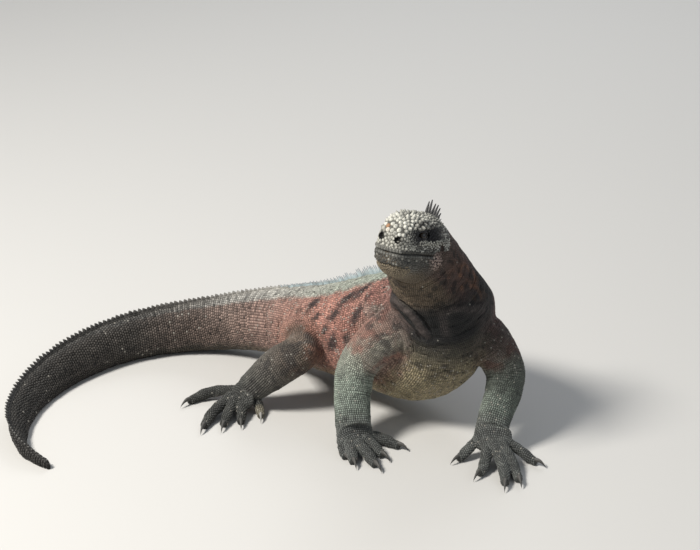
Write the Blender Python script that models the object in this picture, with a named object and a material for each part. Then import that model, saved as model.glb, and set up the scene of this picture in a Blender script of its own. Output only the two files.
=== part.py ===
"""A marine iguana standing with its chest raised, life size, as solids in metres with +Z up.

The body is one smooth tube from the snout to the tip of the tail, given by stations along the
spine and parted into nodes by thin gaps. The limbs are tubes that are cut back from the trunk, and
the digits, the crest and the bosses of the head are fused to the node that they grow from.
"""

import random
from collections import namedtuple
from math import atan2, cos, degrees, exp, pi, radians, sin

import bmesh
import bpy
from mathutils import Matrix, Vector

GAP = 0.0003  # between neighbouring nodes
SEED = 7  # of the small differences between the spines, and between the bosses

# The head, measured along and across its own axis from the front of the mouth line.
SNOUT_TIP = Vector((-0.0617, -0.0700, 0.2630))
HEAD_YAW = radians(35)  # turned to the animal's right
HEAD_PITCH = radians(17)
HEAD_LENGTH = 0.080
HEAD_WIDTH = 0.062
CROWN_HEIGHT = 0.041  # above the mouth line
JAW_DEPTH = 0.026  # below the mouth line
MOUTH_LENGTH = 0.047
MOUTH_DEPTH = 0.0018
EYE_RADIUS = 0.0068
EYE_PLACE = (0.0370, 0.0170, 0.0195)  # back, out to the side, and up
NOSTRIL_PLACE = (0.0010, 0.0108, 0.0150)
NOSTRIL_RADIUS = 0.0019
EAR_PLACE = (0.0640, 0.0310, 0.0080)
EAR_RADIUS = 0.0095  # of the hollow's curve
EAR_DEPTH = 0.0020
BOSS_SPACING = 0.0086
BOSS_HEIGHT = 0.0030
BOSS_RADIUS = 0.0035

# The trunk, the tail and the crest along them.
TRUNK_WIDTH = 0.146
TAIL_ROOT_WIDTH = 0.072
NAPE_SPINE = 0.0170  # the tallest
WITHERS_SPINE = 0.0130
RUMP_SPINE = 0.0040
TAIL_SPINE = 0.0092
NAPE_SPACING = 0.0052
SPINE_SPACING = 0.0074
SEAM_MARGIN = 0.0028  # from a seam to the middle of the nearest spine

AHEAD = Vector((-sin(HEAD_YAW) * cos(HEAD_PITCH), -cos(HEAD_YAW) * cos(HEAD_PITCH), sin(HEAD_PITCH)))
HEAD_LEFT = Vector((cos(HEAD_YAW), -sin(HEAD_YAW), 0))
HEAD_UP = AHEAD.cross(HEAD_LEFT)

Station = namedtuple("Station", "x y z left_x left_y half_width rise drop square roll")
LimbStation = namedtuple("LimbStation", "x y z across along")
Digit = namedtuple("Digit", "root_x root_y turn bend length radius claw")
Form = namedtuple("Form", "back side up amount reach")


def head_station(back, half_width, rise, drop, square):
    """A station of the head: shares of its length, half width, crown height and jaw depth."""
    place = SNOUT_TIP - AHEAD * back * HEAD_LENGTH
    return Station(*place, HEAD_LEFT.x, HEAD_LEFT.y, half_width * HEAD_WIDTH / 2,
                   rise * CROWN_HEIGHT, drop * JAW_DEPTH, square, 0)


def body_station(x, y, z, heading, half_width, rise, drop, square=2.0, roll=0):
    """A station of the body. heading is the way the animal faces there, in degrees from -Y to -X."""
    turn = radians(heading)
    return Station(x, y, z, cos(turn), -sin(turn), half_width, rise, drop, square, radians(roll))


HEAD = [
    head_station(0.000, 0.16, 0.16, 0.14, 2.2),
    head_station(0.020, 0.40, 0.42, 0.38, 2.4),
    head_station(0.060, 0.52, 0.62, 0.60, 2.6),
    head_station(0.140, 0.63, 0.80, 0.88, 2.7),
    head_station(0.260, 0.71, 0.91, 1.10, 2.6),
    head_station(0.420, 0.83, 0.97, 1.18, 2.5),
    head_station(0.600, 0.97, 0.97, 1.42, 2.4),
    head_station(0.780, 1.00, 0.95, 1.56, 2.2),
]
NECK = [
    body_station(-0.0210, -0.0060, 0.2270, 31, 0.0385, 0.0395, 0.0440, 2.15),
    body_station(-0.0100, 0.0080, 0.2030, 23, 0.0455, 0.0400, 0.0500),
    body_station(0.0010, 0.0190, 0.1750, 11, 0.0530, 0.0420, 0.0550),
]
TRUNK = [
    body_station(0.0030, 0.0370, 0.1440, -8, 0.0620, 0.0520, 0.0740, 2.1),
    body_station(-0.0230, 0.0660, 0.1150, -30, 0.0700, 0.0620, 0.0930, 2.2),
    body_station(-0.0660, 0.1020, 0.0950, -42, TRUNK_WIDTH / 2, 0.0565, 0.0770, 2.2),
    body_station(-0.1130, 0.1370, 0.0770, -47, 0.0620, 0.0480, 0.0610, 2.2),
    body_station(-0.1600, 0.1700, 0.0640, -54, 0.0480, 0.0420, 0.0500, 2.1),
]
TAIL = [
    body_station(-0.2080, 0.1960, 0.0540, -66, TAIL_ROOT_WIDTH / 2, 0.0345, 0.0430),
    body_station(-0.2620, 0.2120, 0.0425, -80, 0.0275, 0.0290, 0.0385),
    body_station(-0.3170, 0.2120, 0.0345, -98, 0.0225, 0.0255, 0.0350, roll=-4),
    body_station(-0.3710, 0.1930, 0.0302, -117, 0.0190, 0.0236, 0.0312, roll=-10),
    body_station(-0.4190, 0.1570, 0.0262, -136, 0.0160, 0.0216, 0.0280, roll=-20),
    body_station(-0.4570, 0.1080, 0.0206, -152, 0.0120, 0.0190, 0.0238, roll=-32),
    body_station(-0.4800, 0.0525, 0.0156, -168, 0.0098, 0.0155, 0.0196, roll=-42),
    body_station(-0.4830, -0.0030, 0.0120, -186, 0.0082, 0.0120, 0.0152, roll=-40),
    body_station(-0.4685, -0.0500, 0.0092, -208, 0.0062, 0.0085, 0.0104, roll=-12),
    body_station(-0.4360, -0.0800, 0.0048, -225, 0.0030, 0.0038, 0.0052),
]
SPINE = HEAD + NECK + TRUNK + TAIL
CHANCE = random.Random(SEED)
FOLD_SHARE = 0.35  # of the height of the tail's spines
NAPE = len(HEAD) - 1.05
NECK_START = len(HEAD) - 0.5
TRUNK_START = len(HEAD) + len(NECK) - 0.4
RUMP = len(HEAD) + len(NECK) + len(TRUNK) - 1.0
TAIL_START = len(HEAD) + len(NECK) + len(TRUNK) - 0.35
TAIL_CUTS = [TAIL_START, TAIL_START + 2.4, TAIL_START + 4.6, TAIL_START + 6.6, len(SPINE) - 1]

# Swellings and hollows of the head, on both sides: where they lie, how high and how far they reach.
HEAD_FORMS = [
    Form(0.0350, 0.0210, 0.0330, 0.0028, 0.0085),  # brow
    Form(0.0380, 0.0250, 0.0215, -0.0040, 0.0075),  # hollow of the eye
    Form(0.0580, 0.0330, -0.0100, 0.0040, 0.0120),  # jowl
    Form(0.0260, 0.0230, 0.0080, 0.0012, 0.0080),  # upper lip
    Form(0.0060, 0.0115, 0.0170, 0.0018, 0.0042),  # rim of the nostril
]

# Each limb runs from its root inside the trunk to the wrist or ankle.
RIGHT_ARM = [
    LimbStation(-0.0220, 0.0240, 0.1330, 0.0300, 0.0290),
    LimbStation(-0.0500, 0.0200, 0.1220, 0.0290, 0.0275),
    LimbStation(-0.0750, 0.0170, 0.1030, 0.0250, 0.0245),
    LimbStation(-0.0935, 0.0100, 0.0790, 0.0215, 0.0222),
    LimbStation(-0.0975, -0.0030, 0.0570, 0.0200, 0.0208),
    LimbStation(-0.0975, -0.0170, 0.0400, 0.0170, 0.0200),
    LimbStation(-0.0965, -0.0270, 0.0270, 0.0130, 0.0200),
]
LEFT_ARM = [
    LimbStation(0.0160, 0.0240, 0.1330, 0.0300, 0.0290),
    LimbStation(0.0440, 0.0190, 0.1220, 0.0290, 0.0275),
    LimbStation(0.0650, 0.0130, 0.1010, 0.0250, 0.0245),
    LimbStation(0.0765, 0.0040, 0.0780, 0.0215, 0.0220),
    LimbStation(0.0735, -0.0110, 0.0590, 0.0200, 0.0205),
    LimbStation(0.0660, -0.0260, 0.0450, 0.0165, 0.0190),
    LimbStation(0.0610, -0.0370, 0.0330, 0.0125, 0.0185),
]
RIGHT_LEG = [
    LimbStation(-0.1500, 0.1500, 0.0620, 0.0300, 0.0310),
    LimbStation(-0.1550, 0.1150, 0.0700, 0.0290, 0.0295),
    LimbStation(-0.1510, 0.0840, 0.0740, 0.0245, 0.0255),
    LimbStation(-0.1570, 0.0650, 0.0730, 0.0210, 0.0220),
    LimbStation(-0.1850, 0.0620, 0.0545, 0.0220, 0.0225),
    LimbStation(-0.2080, 0.0640, 0.0335, 0.0175, 0.0185),
    LimbStation(-0.2190, 0.0670, 0.0235, 0.0130, 0.0165),
]
RIGHT_HAND = [
    Digit(-0.0820, -0.0240, 74, -36, 0.0400, 0.0056, 0.0125),
    Digit(-0.0830, -0.0340, 42, -14, 0.0300, 0.0058, 0.0130),
    Digit(-0.0900, -0.0460, 30, -6, 0.0370, 0.0060, 0.0140),
    Digit(-0.1000, -0.0480, 10, 4, 0.0230, 0.0058, 0.0130),
    Digit(-0.1090, -0.0400, 12, 20, 0.0200, 0.0055, 0.0120),
]
LEFT_HAND = [
    Digit(0.0440, -0.0460, -52, 10, 0.0290, 0.0056, 0.0125),
    Digit(0.0530, -0.0560, -14, -36, 0.0430, 0.0058, 0.0130),
    Digit(0.0610, -0.0600, 9, -30, 0.0590, 0.0060, 0.0140),
    Digit(0.0700, -0.0580, 17, -16, 0.0550, 0.0058, 0.0130),
    Digit(0.0760, -0.0490, 56, -10, 0.0400, 0.0055, 0.0120),
]
RIGHT_FOOT = [
    Digit(-0.2110, 0.0570, 16, -26, 0.0230, 0.0050, 0.0120),
    Digit(-0.2260, 0.0500, -2, 10, 0.0300, 0.0054, 0.0125),
    Digit(-0.2360, 0.0520, -16, 14, 0.0400, 0.0056, 0.0135),
    Digit(-0.2420, 0.0600, -29, 34, 0.0580, 0.0058, 0.0145),
    Digit(-0.2400, 0.0780, -82, 84, 0.0570, 0.0058, 0.0140),
]
RIGHT_PALM_HEIGHT = 0.0125
LEFT_PALM_HEIGHT = 0.0190
SOLE_HEIGHT = 0.0140

HEAD_COLOUR = (0.30, 0.29, 0.26)
NECK_COLOUR = (0.17, 0.09, 0.06)
TRUNK_COLOUR = (0.40, 0.17, 0.13)
TAIL_COLOUR = (0.085, 0.075, 0.068)
ARM_COLOUR = (0.24, 0.28, 0.22)
HAND_COLOUR = (0.075, 0.078, 0.080)
THIGH_COLOUR = (0.20, 0.10, 0.06)
EYE_COLOUR = (0.012, 0.009, 0.007)


def clear_scene():
    for old in list(bpy.data.objects):
        bpy.data.objects.remove(old)


def new_collection(name, cutters=False):
    made = bpy.data.collections.new(name)
    bpy.context.scene.collection.children.link(made)
    made.hide_render = cutters
    return made


def new_material(name, colour, roughness):
    material = bpy.data.materials.new(name)
    material.use_nodes = True
    shader = material.node_tree.nodes["Principled BSDF"]
    shader.inputs["Base Color"].default_value = (*colour, 1)
    shader.inputs["Roughness"].default_value = roughness
    shader.inputs["Metallic"].default_value = 0.0
    return material


clear_scene()
BODY = new_collection("marine_iguana")
CUTTERS = new_collection("cutters", cutters=True)
UNITED = new_collection("pieces_to_unite", cutters=True)


def spline(rows, u):
    """A smooth curve through rows of numbers, at the fractional row u, with knots by distance."""
    last = len(rows) - 1
    i = min(int(u), last - 1)
    t = u - i
    near = [rows[max(0, min(last, i + step))] for step in (-1, 0, 1, 2)]
    spans = [max(1e-6, (Vector(b[:3]) - Vector(a[:3])).length) for a, b in zip(near, near[1:])]
    values = []
    for before, a, b, after in zip(*near):
        slope = b - a
        into = slope
        if i > 0:
            into = ((a - before) / spans[0] * spans[1] + slope / spans[1] * spans[0]) / (
                spans[0] + spans[1]) * spans[1]
        out = slope
        if i < last - 1:
            out = (slope / spans[1] * spans[2] + (after - b) / spans[2] * spans[1]) / (
                spans[1] + spans[2]) * spans[1]
        values.append(a + into * t + (3 * slope - 2 * into - out) * t ** 2
                      + (into + out - 2 * slope) * t ** 3)
    return values


def spine_frame(u):
    """The station at u, its centre, and the directions forward, left and up there."""
    here = Station(*spline(SPINE, u))
    step = 0.02
    ahead = Vector(spline(SPINE, max(0, u - step))[:3])
    behind = Vector(spline(SPINE, min(len(SPINE) - 1, u + step))[:3])
    left = Vector((here.left_x, here.left_y, 0)).normalized()
    along = ahead - behind
    forward = (along - left * along.dot(left)).normalized()
    turn = Matrix.Rotation(here.roll, 3, forward)
    return here, Vector((here.x, here.y, here.z)), forward, turn @ left, turn @ forward.cross(left)


def head_place(back, side, up):
    """The world point at a place in the head's own measures."""
    return SNOUT_TIP - AHEAD * back + HEAD_LEFT * side + HEAD_UP * up


def head_swelling(point):
    """How far the surface of the head stands out or in at a point, beside its plain section."""
    away = point - SNOUT_TIP
    back, side, up = -away.dot(AHEAD), abs(away.dot(HEAD_LEFT)), away.dot(HEAD_UP)
    total = 0.0
    for form in HEAD_FORMS:
        near = (back - form.back) ** 2 + (side - form.side) ** 2 + (up - form.up) ** 2
        total += form.amount * exp(-near / form.reach ** 2)
    return total


def body_point(u, angle, grow=0.0):
    """A point of the body's surface at u. The angle counts from the left side over the top."""
    here, centre, forward, left, up = spine_frame(u)
    c, s = cos(angle), sin(angle)
    side = (here.half_width + grow) * abs(c) ** (2 / here.square) * (1 if c >= 0 else -1)
    height = (here.rise if s >= 0 else here.drop) + grow
    lift = height * abs(s) ** (2 / here.square) * (1 if s >= 0 else -1)
    point = centre + left * side + up * lift
    if u < NECK_START + 1:
        point += (point - centre).normalized() * head_swelling(point)
    return point


def even_angles(count):
    return [2 * pi * k / count for k in range(count)]


def new_object(name, bm, collection=BODY):
    mesh = bpy.data.meshes.new(name)
    bm.to_mesh(mesh)
    bm.free()
    made = bpy.data.objects.new(name, mesh)
    collection.objects.link(made)
    return made


def loft(name, rings, tips=(None, None), collection=BODY):
    """A closed tube through rings of points. An end closes on its tip, or on the middle of its ring."""
    bm = bmesh.new()
    rows = [[bm.verts.new(point) for point in points] for points in rings]
    count = len(rows[0])
    for lower, upper in zip(rows, rows[1:]):
        for k in range(count):
            after = (k + 1) % count
            bm.faces.new((lower[k], lower[after], upper[after]))
            bm.faces.new((lower[k], upper[after], upper[k]))
    for row, tip in ((rows[0], tips[0]), (rows[-1], tips[1])):
        pole = bm.verts.new(tip or sum((v.co for v in row), Vector()) / count)
        for k in range(count):
            bm.faces.new((row[k], row[(k + 1) % count], pole))
    bmesh.ops.recalc_face_normals(bm, faces=bm.faces)
    if bm.calc_volume(signed=True) < 0:
        bmesh.ops.reverse_faces(bm, faces=bm.faces)
    return new_object(name, bm, collection)


def keep_largest(mesh):
    """Drops every closed surface of the mesh but the one that holds most."""
    bm = bmesh.new()
    bm.from_mesh(mesh)
    waiting, shells = set(bm.faces), []
    while waiting:
        front = [waiting.pop()]
        shell = []
        while front:
            face = front.pop()
            shell.append(face)
            for other in [other for edge in face.edges for other in edge.link_faces if other in waiting]:
                if other in waiting:
                    waiting.remove(other)
                    front.append(other)
        shells.append(shell)

    def volume(shell):
        total = 0.0
        for face in shell:
            corners = [v.co for v in face.verts]
            for b, c in zip(corners[1:], corners[2:]):
                total += corners[0].dot(b.cross(c))
        return total

    shells.sort(key=volume)
    for shell in shells[:-1]:
        bmesh.ops.delete(bm, geom=shell, context="FACES")
    bmesh.ops.delete(bm, geom=[v for v in bm.verts if not v.link_faces], context="VERTS")
    bm.to_mesh(mesh)
    bm.free()


def apply_boolean(target, operation, operand):
    """Applies one Boolean with an object or a collection, and keeps the largest closed surface."""
    modifier = target.modifiers.new(operation, "BOOLEAN")
    modifier.operation = operation
    modifier.solver = "MANIFOLD"
    if isinstance(operand, bpy.types.Collection):
        modifier.operand_type = "COLLECTION"
        modifier.collection = operand
    else:
        modifier.object = operand
    bpy.context.view_layer.update()
    cut = target.evaluated_get(bpy.context.evaluated_depsgraph_get())
    mesh = bpy.data.meshes.new_from_object(cut)
    target.modifiers.clear()
    target.data = mesh
    keep_largest(mesh)


def unite(base, pieces):
    """Fuses closed pieces to the base, and removes them."""
    for piece in pieces:
        for old in piece.users_collection:
            old.objects.unlink(piece)
        UNITED.objects.link(piece)
    apply_boolean(base, "UNION", UNITED)
    for piece in pieces:
        bpy.data.objects.remove(piece)
    return base


def as_cutter(made):
    made.hide_render = True
    made.display_type = "WIRE"
    return made


def part_at_plane(before, after, centre, way, size):
    """Cuts two neighbours clear of the plane in which they meet, also inside the bend."""
    for length, facing in ((before, 1), (after, -1)):
        bm = bmesh.new()
        bmesh.ops.create_cube(bm, size=1.0)
        bmesh.ops.scale(bm, verts=bm.verts, vec=(size, size, 0.06))
        bmesh.ops.translate(bm, verts=bm.verts, vec=(0, 0, 0.03 - 0.35 * GAP))
        turn = Vector((0, 0, 1)).rotation_difference(way * facing).to_matrix().to_4x4()
        bmesh.ops.transform(bm, matrix=Matrix.Translation(centre) @ turn, verts=bm.verts)
        beyond = as_cutter(new_object("plane_cutter", bm, CUTTERS))
        apply_boolean(length, "DIFFERENCE", beyond)
        bpy.data.objects.remove(beyond)


# The body, from the snout to the tip of the tail.
def body_length(name, start, end, steps, angles, front_gap=True, back_gap=True):
    """A length of the body as a closed tube, with half a gap at each end that meets a neighbour."""
    rings = []
    for k in range(steps + 1):
        u = start + (end - start) * k / steps
        forward = spine_frame(u)[2]
        shift = Vector()
        if k == 0 and front_gap:
            shift = -forward * GAP / 2
        if k == steps and back_gap:
            shift = forward * GAP / 2
        rings.append([body_point(u, angle) + shift for angle in angles])
    return loft(name, rings)


def grown_trunk():
    """The neck, torso and root of the tail as one cutter, larger all round by more than a gap."""
    places = []
    for start, end, steps in BODY_LENGTHS:
        places += [start + (end - start) * k / steps for k in range(steps)]
    rings = [[body_point(u, angle, 1.5 * GAP) for angle in TRUNK_ANGLES] for u in places]
    return as_cutter(loft("grown_cutter", rings, collection=CUTTERS))


TRUNK_ANGLES = even_angles(22)
TAIL_ANGLES = even_angles(14)
NECK_STEPS = 6
TORSO_STEPS = 11
TAIL_STEPS = 6
BODY_LENGTHS = [(NECK_START, TRUNK_START, NECK_STEPS), (TRUNK_START, TAIL_START, TORSO_STEPS),
                (TAIL_CUTS[0], TAIL_CUTS[1], TAIL_STEPS)]


def nearest_on_head(place):
    """The point of the head's surface nearest to a place, and the way out of the surface there."""
    best = None
    for k in range(60):
        u = 0.2 + 7.0 * k / 59
        for angle in even_angles(72):
            point = body_point(u, angle)
            if best is None or (point - place).length < (best[0] - place).length:
                best = (point, u, angle)
    return best[0], surface_normal(*best[1:])


def surface_normal(u, angle):
    """The way out of the body's surface at a point of it."""
    along = body_point(u + 0.05, angle) - body_point(u - 0.05, angle)
    around = body_point(u, angle + 0.05) - body_point(u, angle - 0.05)
    out = around.cross(along).normalized()
    centre = spine_frame(u)[1]
    return out if out.dot(body_point(u, angle) - centre) > 0 else -out


def make_head():
    """The head with its lips parted by the mouth line, nostrils, ear hollows and lidded eye sockets."""
    lips = [radians(a) for a in (0, 5, 14, 26, 38, 50, 62, 76, 90)]
    upper = lips + [pi - a for a in reversed(lips[:-1])]
    lower = [pi + a for a in lips[1:]] + [2 * pi - a for a in reversed(lips[1:-1])]
    angles = upper + lower
    rings = []
    steps = 20
    for k in range(steps + 1):
        u = 0.12 + (NECK_START - 0.12) * k / steps
        centre, forward = spine_frame(u)[1:3]
        points = [body_point(u, angle) for angle in angles]
        back = -(centre - SNOUT_TIP).dot(AHEAD)
        depth = MOUTH_DEPTH * max(0, min(1, (MOUTH_LENGTH - back) / 0.006))
        for corner in (0, len(upper) - 1):
            away = points[corner] - centre
            points[corner] -= away.normalized() * min(depth, away.length / 2)
        if k == steps:
            points = [point + forward * GAP / 2 for point in points]
        rings.append(points)
    head = loft("head", rings, tips=(SNOUT_TIP - AHEAD * MOUTH_DEPTH / 2, None))
    unite(head, [make_lid(side) for side in (-1, 1)])
    for side in (-1, 1):
        place, out = nearest_on_head(head_place(NOSTRIL_PLACE[0], side * NOSTRIL_PLACE[1],
                                                NOSTRIL_PLACE[2]))
        nostril = ball("nostril_cutter", place, NOSTRIL_RADIUS, 8)
        place, out = nearest_on_head(head_place(EAR_PLACE[0], side * EAR_PLACE[1], EAR_PLACE[2]))
        ear = ball("ear_cutter", place + out * (EAR_RADIUS - EAR_DEPTH), EAR_RADIUS, 16)
        socket = ball("socket_cutter", eye_centre(side), EYE_RADIUS + GAP, 16)
        for cutter in (nostril, ear, socket):
            apply_boolean(head, "DIFFERENCE", cutter)
            bpy.data.objects.remove(cutter)
    return head


def eye_centre(side):
    return head_place(EYE_PLACE[0], side * EYE_PLACE[1], EYE_PLACE[2])


def ball(name, centre, radius, segments, collection=CUTTERS):
    bm = bmesh.new()
    bmesh.ops.create_uvsphere(bm, u_segments=segments, v_segments=segments // 2 + 1, radius=radius)
    bmesh.ops.translate(bm, verts=bm.verts, vec=centre)
    bmesh.ops.triangulate(bm, faces=bm.faces)
    return new_object(name, bm, collection)


def make_lid(side):
    """The lids as one rounded rim about the eye, longer than it is high."""
    out = (HEAD_LEFT * side + HEAD_UP * 0.30 + AHEAD * 0.12).normalized()
    along = (AHEAD - out * AHEAD.dot(out)).normalized()
    above = out.cross(along)
    centre = eye_centre(side) + out * EYE_RADIUS * 0.62
    bm = bmesh.new()
    count, sides = 18, 6
    rows = []
    for k in range(count):
        a = 2 * pi * k / count
        radial = along * cos(a) * 1.22 + above * sin(a) * 0.84
        middle = centre + radial * EYE_RADIUS * 0.86
        rim = 0.0021
        rows.append([bm.verts.new(middle + radial.normalized() * rim * cos(b) + out * rim * 0.8 * sin(b))
                     for b in even_angles(sides)])
    for k in range(count):
        lower, upper = rows[k], rows[(k + 1) % count]
        for j in range(sides):
            after = (j + 1) % sides
            bm.faces.new((lower[j], lower[after], upper[after]))
            bm.faces.new((lower[j], upper[after], upper[j]))
    bmesh.ops.recalc_face_normals(bm, faces=bm.faces)
    if bm.calc_volume(signed=True) < 0:
        bmesh.ops.reverse_faces(bm, faces=bm.faces)
    return new_object("lid", bm)


def crest_height(u):
    """The height of the crest at u: tall on the nape, low on the rump, higher again along the tail."""
    knots = ((NAPE, 0.95 * NAPE_SPINE), (NAPE + 0.3, NAPE_SPINE), (NECK_START + 0.3, 0.75 * NAPE_SPINE),
             (TRUNK_START, WITHERS_SPINE), (RUMP - 3.0, 0.95 * WITHERS_SPINE), (RUMP - 2.0, 0.8 * WITHERS_SPINE),
             (RUMP - 1.0, 0.5 * WITHERS_SPINE), (RUMP, RUMP_SPINE), (RUMP + 3.0, 0.8 * TAIL_SPINE),
             (RUMP + 6.0, TAIL_SPINE), (RUMP + 8.0, 0.9 * TAIL_SPINE), (len(SPINE) - 1, 0.0015))
    for (start, low), (end, high) in zip(knots, knots[1:]):
        if u <= end:
            return low + (high - low) * max(0, u - start) / (end - start)
    return knots[-1][1]


def back_point(u):
    here, centre, forward, left, up = spine_frame(u)
    return centre + up * here.rise


def crest_places(start, end, spacing):
    """Places along the middle of the back, evenly spaced and clear of both ends."""
    count = 200
    run = [(start, 0.0)]
    for k in range(count):
        before, after = (start + (end - start) * (k + step) / count for step in (0, 1))
        run.append((after, run[-1][1] + (back_point(after) - back_point(before)).length))
    length = run[-1][1] - 2 * SEAM_MARGIN
    number = int(length / spacing)
    wanted = [SEAM_MARGIN + length * k / number for k in range(number + 1)]
    places = []
    for u, gone in run:
        if wanted and gone >= wanted[0]:
            places.append(u)
            wanted.pop(0)
    return places


def make_spine(u, height):
    """One spine of the crest: a tapered blade that leans back, rooted in the body."""
    here, centre, forward, left, up = spine_frame(u)
    root = back_point(u)
    lean = CHANCE.uniform(0.30, 0.50)
    aside = CHANCE.uniform(-0.07, 0.07)
    length = min(0.0019, 0.0011 + height * 0.06)
    thick = min(0.0012, 0.0006 + height * 0.05)
    sunk = min(0.0022, here.rise * 0.4)
    rings = []
    for share, width in ((-sunk / height, 1.15), (0.50, 0.72)):
        spot = root + up * height * share - forward * height * lean * max(0, share) ** 1.4
        spot += left * height * aside * max(0, share)
        rings.append([spot + forward * cos(t) * length * width + left * sin(t) * thick * width
                      for t in even_angles(4)])
    tip = root + up * height - forward * height * lean + left * height * aside
    return loft("spine", rings, tips=(None, tip))


def make_fold(start, end, steps):
    """The low fold of skin along the top of the tail that carries its spines."""
    rings = []
    for k in range(steps + 1):
        u = start + (end - start) * k / steps
        here, centre, forward, left, up = spine_frame(u)
        root = back_point(u)
        top = up * crest_height(u) * FOLD_SHARE
        sunk = up * min(0.0022, here.rise * 0.4)
        rings.append([root - sunk - left * 0.0013, root - sunk + left * 0.0013,
                      root + top + left * 0.0005, root + top - left * 0.0005])
    return loft("fold", rings)


def make_crest(start, end, spacing):
    return [make_spine(u, crest_height(u) * CHANCE.uniform(0.80, 1.12))
            for u in crest_places(start, end, spacing)]


def make_bosses():
    """The raised scales on top of the head, in rows across it."""
    keep_off = [(eye_centre(side), EYE_RADIUS + 0.0050) for side in (-1, 1)]
    keep_off += [(head_place(NOSTRIL_PLACE[0], side * NOSTRIL_PLACE[1], NOSTRIL_PLACE[2]), 0.0052)
                 for side in (-1, 1)]
    made = []
    for row, u in enumerate(crest_places(1.3, NAPE + 0.2, 0.9 * BOSS_SPACING)):
        gone = 0.0 if row % 2 else BOSS_SPACING / 2
        for way in (1, -1):
            angle, before = pi / 2, body_point(u, pi / 2)
            wanted = gone
            run = 0.0
            while abs(angle - pi / 2) < radians(48):
                if run >= wanted and not (way < 0 and wanted == 0):
                    spot, out = body_point(u, angle), surface_normal(u, angle)
                    clear = all((spot - middle).length > reach for middle, reach in keep_off)
                    if clear and not (u > NAPE - 0.25 and run < 0.0040):
                        made.append(make_boss(spot, out, CHANCE.uniform(0.80, 1.15)))
                if run >= wanted:
                    wanted += BOSS_SPACING
                angle -= way * radians(1)
                point = body_point(u, angle)
                run += (point - before).length
                before = point
    return made


def make_boss(spot, out, size):
    """One raised scale: a blunt cone with five sides."""
    along = (AHEAD - out * AHEAD.dot(out)).normalized()
    across = out.cross(along)
    rings = []
    for lift, width in ((-0.0014, 1.0), (0.45 * BOSS_HEIGHT * size, 0.62)):
        rings.append([spot + out * lift + (along * cos(t) + across * sin(t)) * BOSS_RADIUS * size * width
                      for t in even_angles(5)])
    return loft("boss", rings, tips=(None, spot + out * BOSS_HEIGHT * size))


def make_eyes():
    for side, name in ((1, "eye_left"), (-1, "eye_right")):
        ball(name, eye_centre(side), EYE_RADIUS, 16, BODY)


def make_body():
    """The nodes from the head to the tip of the tail, parted first and then crested."""
    neck = body_length("neck", NECK_START, TRUNK_START, NECK_STEPS, TRUNK_ANGLES)
    torso = body_length("torso", TRUNK_START, TAIL_START, TORSO_STEPS, TRUNK_ANGLES)
    lengths = [(make_head(), NECK_START), (neck, TRUNK_START), (torso, TAIL_START)]
    names = ["tail_root", "tail_middle", "tail_rear", "tail_tip"]
    for name, start, end in zip(names, TAIL_CUTS, TAIL_CUTS[1:]):
        length = body_length(name, start, end, TAIL_STEPS, TAIL_ANGLES, back_gap=name != names[-1])
        lengths.append((length, end))
    for (before, seam), (after, _) in zip(lengths, lengths[1:]):
        centre, forward = spine_frame(seam)[1:3]
        part_at_plane(before, after, centre, -forward, size=0.3)
    start = NAPE
    for length, end in lengths:
        spacing = NAPE_SPACING if end <= TRUNK_START else SPINE_SPACING
        pieces = make_crest(start, end, spacing)
        if end > TAIL_START:
            pieces.append(make_fold(start + 0.06, end - 0.06, 5))
        if start == NAPE:
            pieces += make_bosses()
        unite(length, pieces)
        start = end


# The limbs: tubes along their bones, parted at the elbow, wrist, knee and ankle.
def limb_frame(rows, u):
    """The station of a limb at the fractional row u, its centre, and the way down the limb there."""
    step = 0.03
    ahead = Vector(spline(rows, min(len(rows) - 1, u + step))[:3])
    behind = Vector(spline(rows, max(0, u - step))[:3])
    here = LimbStation(*spline(rows, u))
    return here, Vector((here.x, here.y, here.z)), (ahead - behind).normalized()


def limb_ring(rows, u, side, shift=0.0, grow=0.0):
    """A section of a limb at the fractional row u. across lies along side, and along at right angles."""
    here, centre, forward = limb_frame(rows, u)
    a = (side - forward * side.dot(forward)).normalized()
    b = forward.cross(a)
    centre += forward * shift
    return [centre + a * cos(t) * (here.across + grow) + b * sin(t) * (here.along + grow)
            for t in LIMB_ANGLES]


def limb_length(name, rows, side, start, end, end_shift=-GAP / 2, grow=0.0, collection=BODY):
    """The length of a limb between two of its rows, as a closed tube with half a gap at each cut."""
    rings = []
    for k in range(LIMB_STEPS + 1):
        shift = 0.0
        if k == 0 and start > 0:
            shift = GAP / 2
        if k == LIMB_STEPS:
            shift = end_shift
        rings.append(limb_ring(rows, start + (end - start) * k / LIMB_STEPS, side, shift, grow))
    return loft(name, rings, collection=collection)


LIMB_ANGLES = even_angles(14)
LIMB_STEPS = 6
JOINT_ROW = 3  # the elbow or the knee


def over_hips(vector, place=True):
    """A place, or a direction, on the other side of the trunk's upright plane at the hips."""
    middle = Vector(TRUNK[-1][:3]) if place else Vector()
    left = Vector((TRUNK[-1].left_x, TRUNK[-1].left_y, 0))
    return vector - left * 2 * (vector - middle).dot(left)


def mirrored_leg(rows):
    return [LimbStation(*over_hips(Vector(row[:3])), row.across, row.along) for row in rows]


def mirrored_digits(digits):
    made = []
    for d in digits:
        place = over_hips(Vector((d.root_x, d.root_y, 0)))
        way = over_hips(Vector((sin(radians(d.turn)), -cos(radians(d.turn)), 0)), place=False)
        turn = degrees(atan2(way.x, -way.y))
        made.append(Digit(place.x, place.y, turn, -d.bend, d.length, d.radius, d.claw))
    return made


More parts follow.
